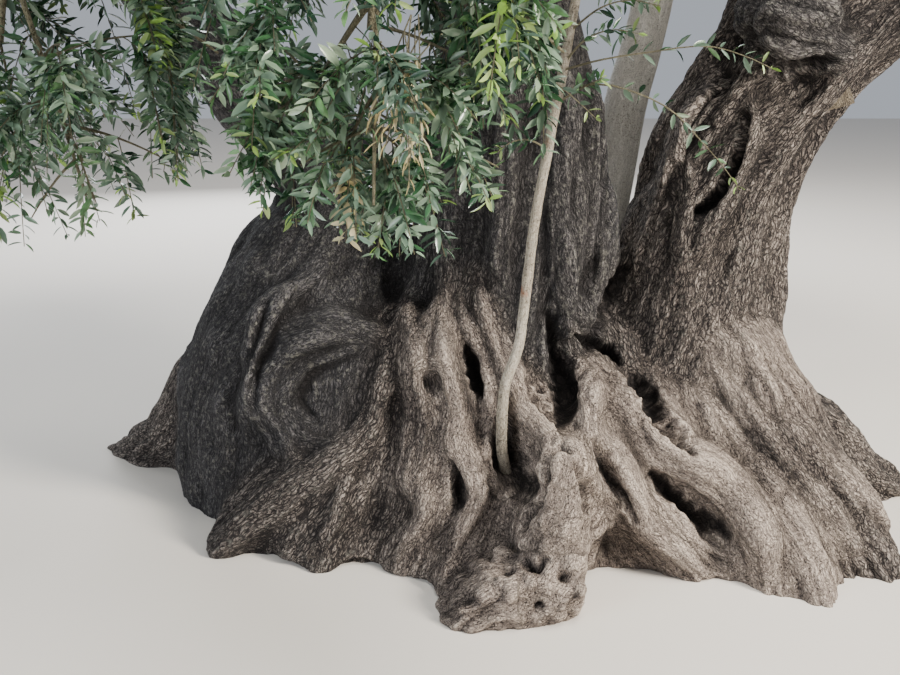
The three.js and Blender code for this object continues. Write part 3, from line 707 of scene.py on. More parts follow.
def seenNear(seen, line, margin):
    # which places are seen within a margin of a line's own bounds, and lie about as far away as it
    room = woodValues["depthRoom"]
    near = (seen[2] > line[2].min() - room) & (seen[2] < line[2].max() + room)
    for place, spots in zip(seen[:2], line[:2]):
        near &= (place > spots.min() - margin) & (place < spots.max() + margin)
    return near


def ridgesOn(points, normals):
    # each ridge is a rounded bank, height (1 - (distance / width)^2), that thins out at both ends; distances
    # are taken square to the line of sight, so a ridge lies where it is seen, on whatever wood carries it
    seen = seenFrom(points)
    facing = (unit(np.array(viewValues["place"]) - points) * normals).sum(1)
    lift = np.zeros(len(points))
    for kind, stations in veins:
        curve = pathThrough(stations, woodValues["rootSteps"])
        height = woodValues["ridgeHeight"] * (woodValues["lobeRidges"] if kind == "lobe" else 1)
        line = seenFrom(curve[:, :3])
        widest = (curve[:, 3] / line[2]).max() * woodValues["ridgeWidth"]
        chosen = np.flatnonzero(seenNear(seen, line, widest) & (facing > 0))
        spots = seen[:2, chosen]
        best = np.zeros(len(chosen))
        toEnd = np.linspace(1, 0, len(curve))
        full = np.sqrt(fadeBetween(0, 0.2, np.linspace(0, 1, len(curve))) * fadeBetween(0, 0.15, toEnd))
        for i in range(len(curve)):
            width = curve[i, 3] * woodValues["ridgeWidth"] * (0.4 + 0.6 * full[i])
            gap = np.hypot(*(spots - line[:2, i:i + 1])) * line[2, i] / width
            best = np.maximum(best, np.maximum(1 - gap ** 2, 0) * curve[i, 3] * height * full[i])
        lift[chosen] = np.maximum(lift[chosen], best * fadeBetween(0.0, 0.3, facing[chosen]))
    return lift


def seenShare(points, curve):
    # 1 on a line and 0 away from it, exp(-(distance / width)^2) square to the line of sight, weaker at its
    # ends; a small noise makes the width uneven
    seen, line = seenFrom(points), seenFrom(curve[:, :3])
    chosen = np.flatnonzero(seenNear(seen, line, woodValues["cleftRoom"]))
    spots = seen[:2, chosen]
    full = np.sqrt(np.sin(math.pi * np.linspace(0.04, 0.96, len(curve))))
    uneven = 1 + woodValues["cleftUneven"] * waver(points[chosen] / woodValues["cleftUnevenSize"])
    best = np.zeros(len(chosen))
    for i in range(len(curve)):
        gap = np.hypot(*(spots - line[:2, i:i + 1])) * line[2, i] / (curve[i, 3] * uneven)
        best = np.maximum(best, np.exp(-gap ** 2) * full[i])
    share = np.zeros(len(points))
    share[chosen] = best
    return share


def skirtArrays():
    # the low dome between the roots: a profile turned about the middle and stretched to an oval
    profile = np.array(footValues["skirtProfile"])
    x0, y0 = footValues["middle"]
    radius = np.concatenate([[1.0], profile[:, 0]])
    level = np.concatenate([[-footValues["belowGround"]], profile[:, 1] * footValues["skirtHeight"]]) * 0.001
    sides = footValues["skirtSides"]
    angle = anglesRound(sides)
    reach = np.where(np.sin(angle) < 0, footValues["skirtFront"], footValues["skirtDepth"])
    x = x0 + footValues["skirtWidth"] * np.outer(radius, np.cos(angle))
    y = y0 + np.outer(radius, np.sin(angle) * reach)
    rings = np.stack([x * 0.001, y * 0.001, np.repeat(level[:, None], sides, 1)], -1)
    ends = [(x0 * 0.001, y0 * 0.001, z) for z in (level[0], level[-1])]
    return np.vstack([rings.reshape(-1, 3), ends]), *ringFaces(len(radius), sides, turned=True)


def knotArrays(centre, size, rings=10, sides=18):
    # an ellipsoid of latitude rings
    level = np.linspace(-math.pi / 2, math.pi / 2, rings + 2)[1:-1]
    angle = anglesRound(sides)
    wide = np.cos(level)
    x, y = np.outer(wide, np.cos(angle)), np.outer(wide, np.sin(angle))
    unitRings = np.stack([x, y, np.repeat(np.sin(level)[:, None], sides, 1)], -1)
    points = np.vstack([unitRings.reshape(-1, 3), [[0, 0, -1]], [[0, 0, 1]]])
    return (points * size + centre) * 0.001, *ringFaces(rings, sides, turned=True)


def fused(points, faces, voxel):
    # closed shapes that overlap, made one skin by a voxel remesh
    rough = bpy.data.objects.new("strands", meshFromArrays("strands", points, faces))
    bpy.context.collection.objects.link(rough)
    remesh = rough.modifiers.new("fuse", "REMESH")
    remesh.mode = "VOXEL"
    remesh.voxel_size = voxel
    mesh = bpy.data.meshes.new_from_object(rough.evaluated_get(bpy.context.evaluated_depsgraph_get()))
    bpy.data.objects.remove(rough)
    return mesh


def readArray(items, key, width, kind=np.float32):
    flat = np.empty(len(items) * width, kind)
    items.foreach_get(key, flat)
    return flat.reshape(-1, width)


def facesOf(mesh):
    # the faces as whole arrays, one for each number of corners
    sizes = readArray(mesh.polygons, "loop_total", 1, np.int32)[:, 0]
    corners = readArray(mesh.loops, "vertex_index", 1, np.int32)[:, 0]
    starts = np.concatenate([[0], np.cumsum(sizes)[:-1]])
    return [corners[starts[sizes == size][:, None] + np.arange(size)] for size in np.unique(sizes)]


def pointsOf(mesh):
    return readArray(mesh.vertices, "co", 3).astype(float)


def normalsOf(mesh):
    return readArray(mesh.vertex_normals, "vector", 3).astype(float)


def edgesOf(mesh):
    return readArray(mesh.edges, "vertices", 2, np.int32)


def inParts(count, size=20000):
    # numbers up to count in parts small enough to compare with a whole path at once
    return np.array_split(np.arange(count), max(1, count // size))


def smoothed(values, edges, rounds, step=0.5):
    # each round moves a vertex's value part of the way to the mean of its neighbours' values
    a, b = edges.T
    count = len(values)
    near = np.bincount(a, minlength=count) + np.bincount(b, minlength=count)
    near = np.maximum(near, 1)
    columns = values.T.copy() if values.ndim == 2 else values[None].copy()
    for _ in range(rounds):
        for c in range(len(columns)):
            line = columns[c]
            total = np.bincount(a, line[b], count) + np.bincount(b, line[a], count)
            columns[c] = line + step * (total / near - line)
    return columns.T if values.ndim == 2 else columns[0]


def nearStrand(points, curve, reach):
    # which points are near a strand, how far they are from its skin, and where they are in its own frame:
    # across (u), over (v) and along it (s, in metres)
    low = (curve[:, :3] - curve[:, 3:4]).min(0) - reach
    high = (curve[:, :3] + curve[:, 3:4]).max(0) + reach
    chosen = np.flatnonzero(((points > low) & (points < high)).all(1))
    if not len(chosen):
        return None
    p = points[chosen]
    tangents, across, over = framesAlong(curve)
    closest = np.empty(len(p), int)
    for part in inParts(len(p)):
        gap = ((p[part, None] - curve[None, :, :3]) ** 2).sum(-1) - (curve[None, :, 3] ** 2) * 0.5
        closest[part] = gap.argmin(1)
    length = lengthAlong(curve)
    spacing = length[-1] / (len(curve) - 1)
    forward = ((p - curve[closest, :3]) * tangents[closest]).sum(1) / spacing
    share = np.clip(closest + np.clip(forward, -0.5, 0.5), 0, len(curve) - 1)
    i, f = spanAt(share, len(curve))
    f = f[:, None]
    here = mixed(curve[i], curve[i + 1], f)
    away = p - here[:, :3]
    u, v, w = ((away * unit(mixed(axis[i], axis[i + 1], f))).sum(1) for axis in (across, over, tangents))
    s = mixed(length[i], length[i + 1], f[:, 0]) + w
    gap = np.linalg.norm(away, axis=1) - here[:, 3]
    keep = gap < reach
    return chosen[keep], gap[keep], np.stack([u, v, s], 1)[keep]


def barkRelief(grain, kind, seed):
    # billows |noise| with round tops and sharp valleys, stretched along the strand; the flutes carry the
    # fibres, the fibres carry the plates; a slow noise bends all the lines, and lumps lie under them
    bark = barkKinds[kind]
    grain = grain + seed * woodValues["seedStep"]
    slow = grain / woodValues["bendSize"]
    lines = grain + np.stack([waver(slow), waver(slow + 31.7), np.zeros(len(grain))], 1) * woodValues["bend"]
    fine = lines + woodValues["fineBend"] * np.stack([waver(grain / woodValues["fineSize"] + 5.5)] * 3, 1)
    relief = np.zeros(len(grain))
    for layer, spots, shift in (("flute", lines, 0), ("fibre", fine, 9.1), ("plate", fine, 17.3)):
        width, length = bark[layer + "Size"]
        billow = np.abs(waver(spots / (width, width, length) + shift))
        relief += bark[layer] * (np.minimum(billow * woodValues["billow"], 1) - woodValues["valley"])
    return relief + bark["lump"] * 2 * waver(grain / woodValues["lumpSize"] + 23.9)


def reliefOn(points, strands):
    # the strands' reliefs, each weighted by how near its skin is; and the grain of the nearest strand
    total = np.zeros(len(points))
    weight = np.zeros(len(points)) + 1e-9
    best = np.full(len(points), -1.0)
    grain = points.copy()
    tone = np.full(len(points), 1e-9)
    for seed, (kind, curve) in enumerate(strands):
        found = nearStrand(points, curve, woodValues["reach"])
        if found is None:
            continue
        chosen, gap, local = found
        turn = local[:, 2] * woodValues["twistPerMetre"]
        u = local[:, 0] * np.cos(turn) - local[:, 1] * np.sin(turn)
        v = local[:, 0] * np.sin(turn) + local[:, 1] * np.cos(turn)
        local = np.stack([u, v, local[:, 2]], 1)
        w = np.exp(-np.maximum(gap, -0.04) / woodValues["blend"])
        total[chosen] += w * barkRelief(local, kind, seed)
        weight[chosen] += w
        tone[chosen] += w * barkKinds[kind]["tone"]
        wins = w > best[chosen]
        best[chosen[wins]] = w[wins]
        grain[chosen[wins]] = local[wins] + seed * woodValues["seedStep"]
    return total / weight, grain, tone / weight


def putPoints(mesh, points):
    mesh.vertices.foreach_set("co", points.astype(np.float32).ravel())
    mesh.update()


def creasesFilled(mesh):
    # swollen, fused again and shrunk back by the same distance: creases narrower than twice that fill up
    def distance(points):
        high = fadeBetween(*woodValues["closeBetween"], points[:, 2])
        return mixed(woodValues["closeLow"], woodValues["closeHigh"], high)[:, None]

    points = pointsOf(mesh)
    swollen = points + unit(smoothed(normalsOf(mesh), edgesOf(mesh), 2)) * distance(points)
    mesh = fused(swollen, facesOf(mesh), woodValues["firstVoxel"])
    edges = edgesOf(mesh)
    points = smoothed(pointsOf(mesh), edges, 4)
    putPoints(mesh, points)
    putPoints(mesh, smoothed(points - unit(smoothed(normalsOf(mesh), edges, 4)) * distance(points), edges, 3))
    return mesh


def oldWood():
    coarse = coarseStrands()
    tubes = [tubeArrays(curve, woodValues["tubeSides"]) for kind, curve in coarse]
    tubes += [knotArrays(centre, size) for centre, size in knots]
    points, quads, ends = joinTubes(tubes + [skirtArrays()])
    mesh = creasesFilled(fused(points, [quads, ends], woodValues["firstVoxel"]))
    print("roots and limbs fused:", len(mesh.vertices), "points")
    points, edges = pointsOf(mesh), edgesOf(mesh)
    normals = unit(smoothed(normalsOf(mesh), edges, 3))
    points += normals * ridgesOn(points, normals)[:, None]
    finePoints, quads, ends = joinTubes([knotArrays(centre, size) for centre, size in lumps])
    faces = facesOf(mesh) + [quads + len(points), ends + len(points)]
    mesh = fused(np.vstack([points, finePoints]), faces, woodValues["voxel"])
    print("ridges laid on:", len(mesh.vertices), "points")
    edges = edgesOf(mesh)
    points = smoothed(pointsOf(mesh), edges, woodValues["smoothRounds"])
    putPoints(mesh, points)
    normals = unit(smoothed(normalsOf(mesh), edges, 3))
    fine = [(kind, pathThrough(stations, 8)) for kind, stations in veins]
    relief, grain, tone = reliefOn(points, coarse + fine)
    for depth, stations in clefts:
        relief -= depth * seenShare(points, pathThrough(stations, woodValues["cleftSteps"]))
    for centre, size, height in swellings:
        relief += height * np.exp(-(np.linalg.norm(points - centre, axis=1) / size) ** 2)
    points = points + normals * relief[:, None]
    putPoints(mesh, points)
    # how raised and how open a place is: its height above the same skin smoothed a little, and smoothed a lot
    # the bark paints light on raised and open places and shade into low and closed ones by these
    normals = normalsOf(mesh)
    raised, opened = (
        ((points - smoothed(points, edges, rounds)) * normals).sum(1) for rounds in woodValues["lookRounds"]
    )
    # darker towards the left: painted shade of the left side; the lower tone there also brings more lichen
    tone *= mixed(woodValues["shadeAndLichenLeft"], 1.0, fadeBetween(*woodValues["shadeAndLichenBetween"], points[:, 0]))
    setVectors(mesh, "grain", grain)
    look = [raised / woodValues["raisedUnit"], opened / woodValues["openUnit"], tone]
    setVectors(mesh, "look", np.stack(look, 1))
    print("old wood has its bark relief")
    return mesh


def cutAtGround(mesh):
    # everything below the ground goes, and each loop that the cut leaves is closed by a flat face of its own
    work = bmesh.new()
    work.from_mesh(mesh)
    cut = bmesh.ops.bisect_plane(
        work, geom=work.verts[:] + work.edges[:] + work.faces[:], dist=1e-4,
        plane_co=(0, 0, 0), plane_no=(0, 0, 1), clear_inner=True,
    )
    for vert in [v for v in cut["geom_cut"] if isinstance(v, bmesh.types.BMVert)]:
        vert.co.z = 0
    rim = [e for e in work.edges if e.is_boundary and max(v.co.z for v in e.verts) < 1e-3]
    caps = bmesh.ops.edgeloop_fill(work, edges=rim)["faces"]
    for cap in caps:
        if cap.normal.z > 0:
            cap.normal_flip()
    bmesh.ops.triangulate(work, faces=caps, quad_method="BEAUTY", ngon_method="EAR_CLIP")
    print("flat cut:", len(caps), "loops closed;", sum(e.is_boundary for e in work.edges), "open edges left")
    work.to_mesh(mesh)
    work.free()


def sideOfFork(points, name):
    # above 0 past the plane where a great limb becomes its bough
    great = greatLimbs[name]
    place, tangent, radius = pathAt(pathThrough(great["stations"], 24), great["fork"])
    near = np.linalg.norm(points - place[0], axis=1) < 2.6
    return np.where(near | (points[:, 2] > 2.2), (points - place[0]) @ tangent[0], -1)


def splitWood(mesh, material):
    # each face goes to one piece; the border points are shared, and keep the normals of the whole
    points, normals = pointsOf(mesh), normalsOf(mesh)
    sides = ("left", "middle", "right")
    parts = [(f"trunk_{depth}_{side}", "trunk") for depth in ("front", "back") for side in sides]
    parts += [(f"great_bough_{side}", f"bough_{side}") for side in sides]
    faces = []
    for corners in facesOf(mesh):
        middle = points[corners].mean(1)
        x = middle[:, 0]
        home = np.where(middle[:, 1] < woodValues["splitDepth"], 0, 3)
        home += (x > woodValues["splitLeft"]).astype(int) + (x > woodValues["splitRight"])
        leftOf, within, rightOf = woodValues["boughEdges"]
        for index, (side, near) in enumerate(zip(sides, (x < leftOf, np.abs(x) < within, x > rightOf))):
            home[(sideOfFork(middle, side) > 0) & near] = 6 + index
        faces.append((corners, home))
    kept = {key: readArray(mesh.attributes[key].data, "vector", 3) for key in ("grain", "look")}
    for index, (name, node) in enumerate(parts):
        own = [corners[home == index] for corners, home in faces if (home == index).any()]
        used = np.unique(np.concatenate([f.ravel() for f in own]))
        renumber = np.zeros(len(points), np.int64)
        renumber[used] = np.arange(len(used))
        part = meshFromArrays(name, points[used], [renumber[f] for f in own])
        for key, values in kept.items():
            setVectors(part, key, values[used])
        part.normals_split_custom_set_from_vertices(normals[used])
        addPiece(name, part, [node], [material])
        print(name, sum(len(f) * (f.shape[1] - 2) for f in own), "triangles")


def put(tree, socket, value):
    # a link or a plain value goes into a socket
    if isinstance(value, bpy.types.NodeSocket):
        tree.links.new(value, socket)
    else:
        socket.default_value = value


def addNode(tree, kind, settings={}, **inputs):
    # inputs are named, or numbered as _0, _1 and so on
    node = tree.nodes.new(kind)
    for key, value in settings.items():
        setattr(node, key, value)
    for key, value in inputs.items():
        put(tree, node.inputs[int(key[1:])] if key[0] == "_" else node.inputs[key], value)
    return node


def newMaterial(name, specular=0.5):
    material = bpy.data.materials.new(name)
    material.use_nodes = True
    tree = material.node_tree
    tree.nodes.clear()
    shader = addNode(tree, "ShaderNodeBsdfPrincipled", {}, **{"Specular IOR Level": specular})
    addNode(tree, "ShaderNodeOutputMaterial", {}, Surface=shader.outputs[0])
    return material, tree, shader


def mathNode(tree, operation, *values):
    numbered = {f"_{index}": value for index, value in enumerate(values)}
    return addNode(tree, "ShaderNodeMath", {"operation": operation}, **numbered).outputs[0]


def timesPlus(tree, value, factor, extra):
    return mathNode(tree, "MULTIPLY_ADD", value, factor, extra)


def mixColours(tree, share, a, b):
    return addNode(tree, "ShaderNodeMix", {"data_type": "RGBA"}, _0=share, _6=a, _7=b).outputs[2]


def stretched(tree, vector, scale):
    return addNode(tree, "ShaderNodeVectorMath", {"operation": "MULTIPLY"}, _0=vector, _1=scale).outputs[0]


def noiseIn(tree, vector, scale, detail, roughness):
    return addNode(
        tree, "ShaderNodeTexNoise", Vector=vector, Scale=scale, Detail=detail, Roughness=roughness,
    ).outputs[0]


def between(tree, value, low, high):
    settings = {"interpolation_type": "SMOOTHSTEP"}
    return addNode(tree, "ShaderNodeMapRange", settings, _0=value, _1=low, _2=high).outputs[0]


def linear(r, g, b):
    # 0 to 255 as seen on a screen, to the values that the shader works in
    c = np.array([r, g, b]) / 255
    c = np.where(c < 0.04045, c / 12.92, ((c + 0.055) / 1.055) ** 2.4)
    return (*c.tolist(), 1.0)


def groupWith(name, inputs, outputs):
    # a shader node group; inputs and outputs say which names are of each kind of socket
    group = bpy.data.node_groups.new(name, "ShaderNodeTree")
    for side, sockets in (("INPUT", inputs), ("OUTPUT", outputs)):
        for kind, labels in sockets.items():
            for label in labels:
                group.interface.new_socket(label, in_out=side, socket_type="NodeSocket" + kind)
    return group, addNode(group, "NodeGroupInput").outputs, addNode(group, "NodeGroupOutput")


# the bark's noises: how much slower each runs along the grain, then its scale, detail and roughness
barkNoises = {"streak": (0.07, 90, 5, 0.7), "thread": (0.16, 300, 3, 0.65), "flake": (0.5, 150, 4, 0.7)}

# the bark's pattern: how far the grain bends, the cracks between plates, and what makes a place lighter or
# darker, with painted light on raised and open wood and painted shade in low and closed places
patternValues = {
    "bend": 0.03, "bendScale": 22.0, "crackScale": 105.0, "crackAlong": 0.24, "crackEdge": (0.02, 0.22),
    "patch": (2.6, 5, 0.62), "speck": (60, 4, 0.65), "pit": (210, 3, 0.6),
    "level": 0.63, "raised": 0.13, "open": 0.3, "gap": -0.56, "pits": 0.34,
    "threads": 1.1, "flakes": 0.8, "patches": 1.2, "streaks": (1.3, 0.4),
    "lichen": (150, 147, 138), "shadeInHollows": (23, 19, 18), "shadeInHollowsShare": 0.85, "bump": 0.014,
}


def barkGroup():
    # streaks along the grain, cracks between small plates, flakes and grey lichen; darker where it is low or
    # closed in, which is painted shade, and lighter where it is raised or open, which is painted light
    given = {"Vector": ["Grain"], "Float": ["Raised", "Open", "Lichen", "Plates"]}
    given["Color"] = ["Dark", "Middle", "Light"]
    made = {"Color": ["Colour"], "Float": ["Roughness"], "Vector": ["Normal"]}
    group, given, made = groupWith("barkPattern", given, made)
    v = patternValues
    place = addNode(group, "ShaderNodeTexCoord").outputs["Object"]
    grain, plates, raised = given["Grain"], given["Plates"], given["Raised"]
    bent = addNode(group, "ShaderNodeTexNoise", Vector=grain, Scale=v["bendScale"], Detail=2.0).outputs[1]
    bent = addNode(
        group, "ShaderNodeVectorMath", {"operation": "MULTIPLY_ADD"}, _0=bent, _1=(v["bend"],) * 3, _2=grain,
    ).outputs[0]
    streak, thread, flake = (
        noiseIn(group, stretched(group, bent, (1, 1, along)), *noise) for along, *noise in barkNoises.values()
    )
    patch, speck, pit = (noiseIn(group, place, *v[name]) for name in ("patch", "speck", "pit"))
    pit = between(group, pit, 0.36, 0.5)
    edge = addNode(
        group, "ShaderNodeTexVoronoi", {"feature": "DISTANCE_TO_EDGE"},
        Vector=stretched(group, bent, (1, 1, v["crackAlong"])), Scale=v["crackScale"],
    ).outputs[0]
    gap = mathNode(group, "SUBTRACT", 1.0, between(group, edge, *v["crackEdge"]))
    gap = mathNode(group, "MULTIPLY", gap, plates)
    # level runs from dark at 0 to light at 1
    # painted light on the raised grain and painted shade in its small crevices
    level = timesPlus(group, raised, v["raised"], v["level"])
    streaks = timesPlus(group, plates, *v["streaks"])
    amounts = (streaks, v["threads"], v["flakes"], v["patches"])
    for noise, amount in zip((streak, thread, flake, patch), amounts):
        level = timesPlus(group, mathNode(group, "SUBTRACT", noise, 0.5), amount, level)
    level = timesPlus(group, gap, v["gap"], level)
    level = timesPlus(group, mathNode(group, "SUBTRACT", pit, 1.0), v["pits"], level)
    # painted light on open, exposed wood and painted shade where the wood is closed in
    level = timesPlus(group, between(group, given["Open"], 0.2, 1.8), v["open"], level)
    colour = mixColours(group, between(group, level, 0.0, 0.5), given["Dark"], given["Middle"])
    colour = mixColours(group, between(group, level, 0.42, 1.05), colour, given["Light"])
    grey = mathNode(group, "MULTIPLY", between(group, speck, 0.5, 0.68), given["Lichen"])
    grey = mathNode(group, "MULTIPLY", grey, between(group, raised, -0.6, 0.8))
    colour = mixColours(group, grey, colour, linear(*v["lichen"]))
    # painted shade: low, closed-in wood is mixed towards a near-black brown
    shade = mathNode(group, "SUBTRACT", 1.0, between(group, given["Open"], -1.5, 0.35))
    colour = mixColours(
        group, mathNode(group, "MULTIPLY", shade, v["shadeInHollowsShare"]), colour, linear(*v["shadeInHollows"]),
    )
    height = mathNode(group, "MULTIPLY", streak, timesPlus(group, plates, 0.75, 0.2))
    for part, amount in ((thread, 0.4), (flake, 0.5), (gap, -0.75), (pit, 0.25)):
        height = timesPlus(group, part, amount, height)
    bump = addNode(group, "ShaderNodeBump", Strength=1.0, Distance=v["bump"], Height=height).outputs[0]
    rough = timesPlus(group, flake, 0.2, 0.78)
    for label, value in (("Colour", colour), ("Roughness", rough), ("Normal", bump)):
        put(group, made.inputs[label], value)
    return group


def barkMaterial(name, pattern, shades, lichen, plates, specular, scar):
    # shades are the dark, middle and light colours; a pair of colours for each is mixed by the tone that the
    # wood carries, and where there is one colour for each, what is carried is where scars lie
    material, tree, shader = newMaterial(name, specular)
    grain = addNode(tree, "ShaderNodeAttribute", {"attribute_name": "grain"}).outputs["Vector"]
    look = addNode(tree, "ShaderNodeAttribute", {"attribute_name": "look"}).outputs["Vector"]
    raised, opened, third = addNode(tree, "ShaderNodeSeparateXYZ", _0=look).outputs
    if scar:
        dark, middle, light = (linear(*shade) for shade in shades)
    else:
        dark, middle, light = (mixColours(tree, third, linear(*low), linear(*high)) for low, high in shades)
        lichen = timesPlus(tree, third, *lichen)
        away = mathNode(tree, "ABSOLUTE", timesPlus(tree, third, *plates))
        plates = mathNode(tree, "SUBTRACT", 1.0, away)
    bark = addNode(
        tree, "ShaderNodeGroup", {"node_tree": pattern}, Grain=grain, Raised=raised, Open=opened,
        Dark=dark, Middle=middle, Light=light, Lichen=lichen, Plates=plates,
    ).outputs
    colour = mixColours(tree, third, bark["Colour"], linear(*scar)) if scar else bark["Colour"]
    put(tree, shader.inputs["Base Color"], colour)
    for label in ("Roughness", "Normal"):
        put(tree, shader.inputs[label], bark[label])
    return material


# tone 0 is the dark smooth lobe, whose dark is painted shade, 0.5 the fissured stems, 1 the paler roots;
# lichen is -0.4 tone + 0.6, and the plates 1 - |1.15 tone - 0.5|
oldBarkValues = {
    "shades": [
        ((26, 25, 27), (53, 46, 44)), ((50, 49, 51), (129, 117, 109)), ((104, 101, 102), (207, 191, 176)),
    ],
    "lichen": (-0.4, 0.6), "plates": (1.15, -0.5), "specular": 0.22, "scar": None,
}

# the smoother barks: dark, middle and light colour, lichen and plates
limbBarkValues = {
    "branchBark": ([(44, 38, 31), (98, 88, 74), (148, 138, 120)], 0.4, 0.4),
    "paleBark": ([(104, 95, 82), (164, 154, 138), (202, 193, 178)], 0.35, 0.12),
    "youngBark": ([(118, 113, 106), (182, 177, 168), (220, 215, 207)], 0.25, 0.06),
    "twigBark": ([(80, 74, 56), (128, 122, 98), (158, 152, 126)], 0.2, 0.1),
}
scarColour = (148, 86, 52)

# upper side, underside, and how glossy, of the leaves of one spray
leafColours = {
    "leafDeep": ((36, 66, 48), (100, 122, 104), 0.23),
    "leafMiddle": ((54, 90, 58), (116, 138, 116), 0.24),
    "leafPale": ((84, 122, 78), (138, 158, 132), 0.27),
    "leafNew": ((126, 164, 70), (146, 168, 102), 0.36),
    "leafDry": ((170, 156, 108), (180, 170, 134), 0.6),
}


def leafMaterial(name, upper, under, roughness):
    # the upper side is green and the underside silvery; a slow noise keeps a spray from being one flat colour
    material, tree, shader = newMaterial(name, specular=0.6)
    place = addNode(tree, "ShaderNodeTexCoord").outputs["Object"]
    shift = between(tree, noiseIn(tree, place, 30, 2, 0.5), 0.3, 0.7)
    darker, lighter = [c * 0.82 for c in upper], [min(255, c * 1.12) for c in upper]
    top = mixColours(tree, shift, linear(*darker), linear(*lighter))
    back = addNode(tree, "ShaderNodeNewGeometry").outputs["Backfacing"]
    put(tree, shader.inputs["Base Color"], mixColours(tree, back, top, linear(*under)))
    put(tree, shader.inputs["Roughness"], roughness)
    return material


barkPattern = barkGroup()
oldBark = barkMaterial("oldBark", barkPattern, **oldBarkValues)
branchBark, paleBark, youngBark, twigBark = (
    barkMaterial(name, barkPattern, *values, 0.3, scarColour) for name, values in limbBarkValues.items()
)
leaves = [leafMaterial(name, *values) for name, values in leafColours.items()]
print("materials done")

wood = oldWood()
cutAtGround(wood)
splitWood(wood, oldBark)


# the skin of every limb: how soon its flare fades, how long its lumps and fibres are for their width, how its
# fibres billow, how far from its foot it is darkened (metres), partly painted shade and partly dirt, and the
# grain and edge of its scars
skinValues = {
    "flareFade": 14, "lumpLength": 2.5, "fibreLength": 7, "billow": 2.4, "valley": 0.5, "raised": 1.6,
    "open": 0.6, "foot": (0.05, 0.75), "scarGrain": 0.012, "scarEdge": (-0.12, 0.08),
}


def limbPiece(name, node, stations, values, material):
    # a tube with a worked skin: the radius flares at the foot, and lumps and fibres push the points out
    v = skinValues
    curve = pathThrough(stations, values["perSpan"])
    sides = values["sides"]
    curve[:, 3] *= 1 + values["flare"] * np.exp(-np.linspace(0, 1, len(curve)) * v["flareFade"])
    points, quads, ends = tubeArrays(curve, sides)
    length = lengthAlong(curve)
    angle = anglesRound(sides)
    radius = np.repeat(curve[:, 3], sides)
    x, y = (np.outer(curve[:, 3], turned).ravel() for turned in (np.cos(angle), np.sin(angle)))
    grain = np.stack([x, y, np.repeat(length, sides)], 1) + values["seed"] * 3.17
    lumpSize, fibreSize = values["lumpSize"], values["fibreSize"]
    coarse = waver(grain / (lumpSize, lumpSize, lumpSize * v["lumpLength"]))
    ridged = np.abs(waver(grain / (fibreSize, fibreSize, fibreSize * v["fibreLength"]) + 4.4))
    ridged = ridged * v["billow"] - v["valley"]
    push = values["lump"] * 2 * coarse * radius + values["fibre"] * ridged
    centre = np.repeat(curve[:, :3], sides, axis=0)
    points[:-2] += unit(points[:-2] - centre) * push[:, None]
    # the bark paints the fibre tops lighter and the hollows between them with shade
    raised = np.concatenate([ridged * v["raised"], [0, 0]])
    # the foot is made less open, so the bark darkens it: partly painted shade, partly dirt
    opened = mixed(-values.get("footShadeAndDirt", 0), v["open"], fadeBetween(*v["foot"], length))
    scars = np.zeros(len(length))
    for at, size in values.get("scars", []):
        scars += np.exp(-((length - at) / size) ** 2)
    scars = np.repeat(scars, sides) * fadeBetween(*v["scarEdge"], waver(grain / v["scarGrain"] + 2.2))
    alongEnds = np.stack([np.repeat(opened, sides), scars], 1)
    alongEnds = np.vstack([alongEnds, alongEnds[:1], alongEnds[-1:]])
    mesh = meshFromArrays(name, points, [quads, ends])
    setVectors(mesh, "grain", np.vstack([grain, grain[:1], grain[-1:]]))
    setVectors(mesh, "look", np.column_stack([raised, alongEnds]))
    addPiece(name, mesh, [node], [material])


# rings for each span, points round, how much the foot flares, and the lumps and fibres of the skin (metres);
# a scar is how far from the foot it lies and how long it is
# the darkened foot of the young stem and the sucker is partly painted shade and partly dirt
youngStemValues = {
    "seed": 1, "perSpan": 48, "sides": 60, "flare": 0.15,
    "lump": 0.09, "lumpSize": 0.11, "fibre": 0.0014, "fibreSize": 0.02, "footShadeAndDirt": 0.7,
}
risingValues = {
    "seed": 2, "perSpan": 48, "sides": 60, "flare": 0.3,
    "lump": 0.08, "lumpSize": 0.12, "fibre": 0.008, "fibreSize": 0.026,
}
suckerValues = {
    "seed": 3, "perSpan": 26, "sides": 20, "flare": 0.2,
    "lump": 0.1, "lumpSize": 0.03, "fibre": 0.0006, "fibreSize": 0.006,
    "footShadeAndDirt": 0.5, "scars": [(0.842, 0.011), (1.3, 0.006)],
}
branchValues = {
    "seed": 4, "perSpan": 30, "sides": 28, "flare": 0.6,
    "lump": 0.1, "lumpSize": 0.09, "fibre": 0.003, "fibreSize": 0.022,
}

for name, node, values, material, slot in (
    ("smooth_young_stem", "young_stem", youngStemValues, youngBark, "pale_bark"),
    ("rising_bough", "bough_rising", risingValues, branchBark, "bark"),
    ("thin_sucker", "sucker", suckerValues, paleBark, "pale_bark"),
):
    limbPiece(name, node, lesserLimbs[node], values, material)
print("stems done")

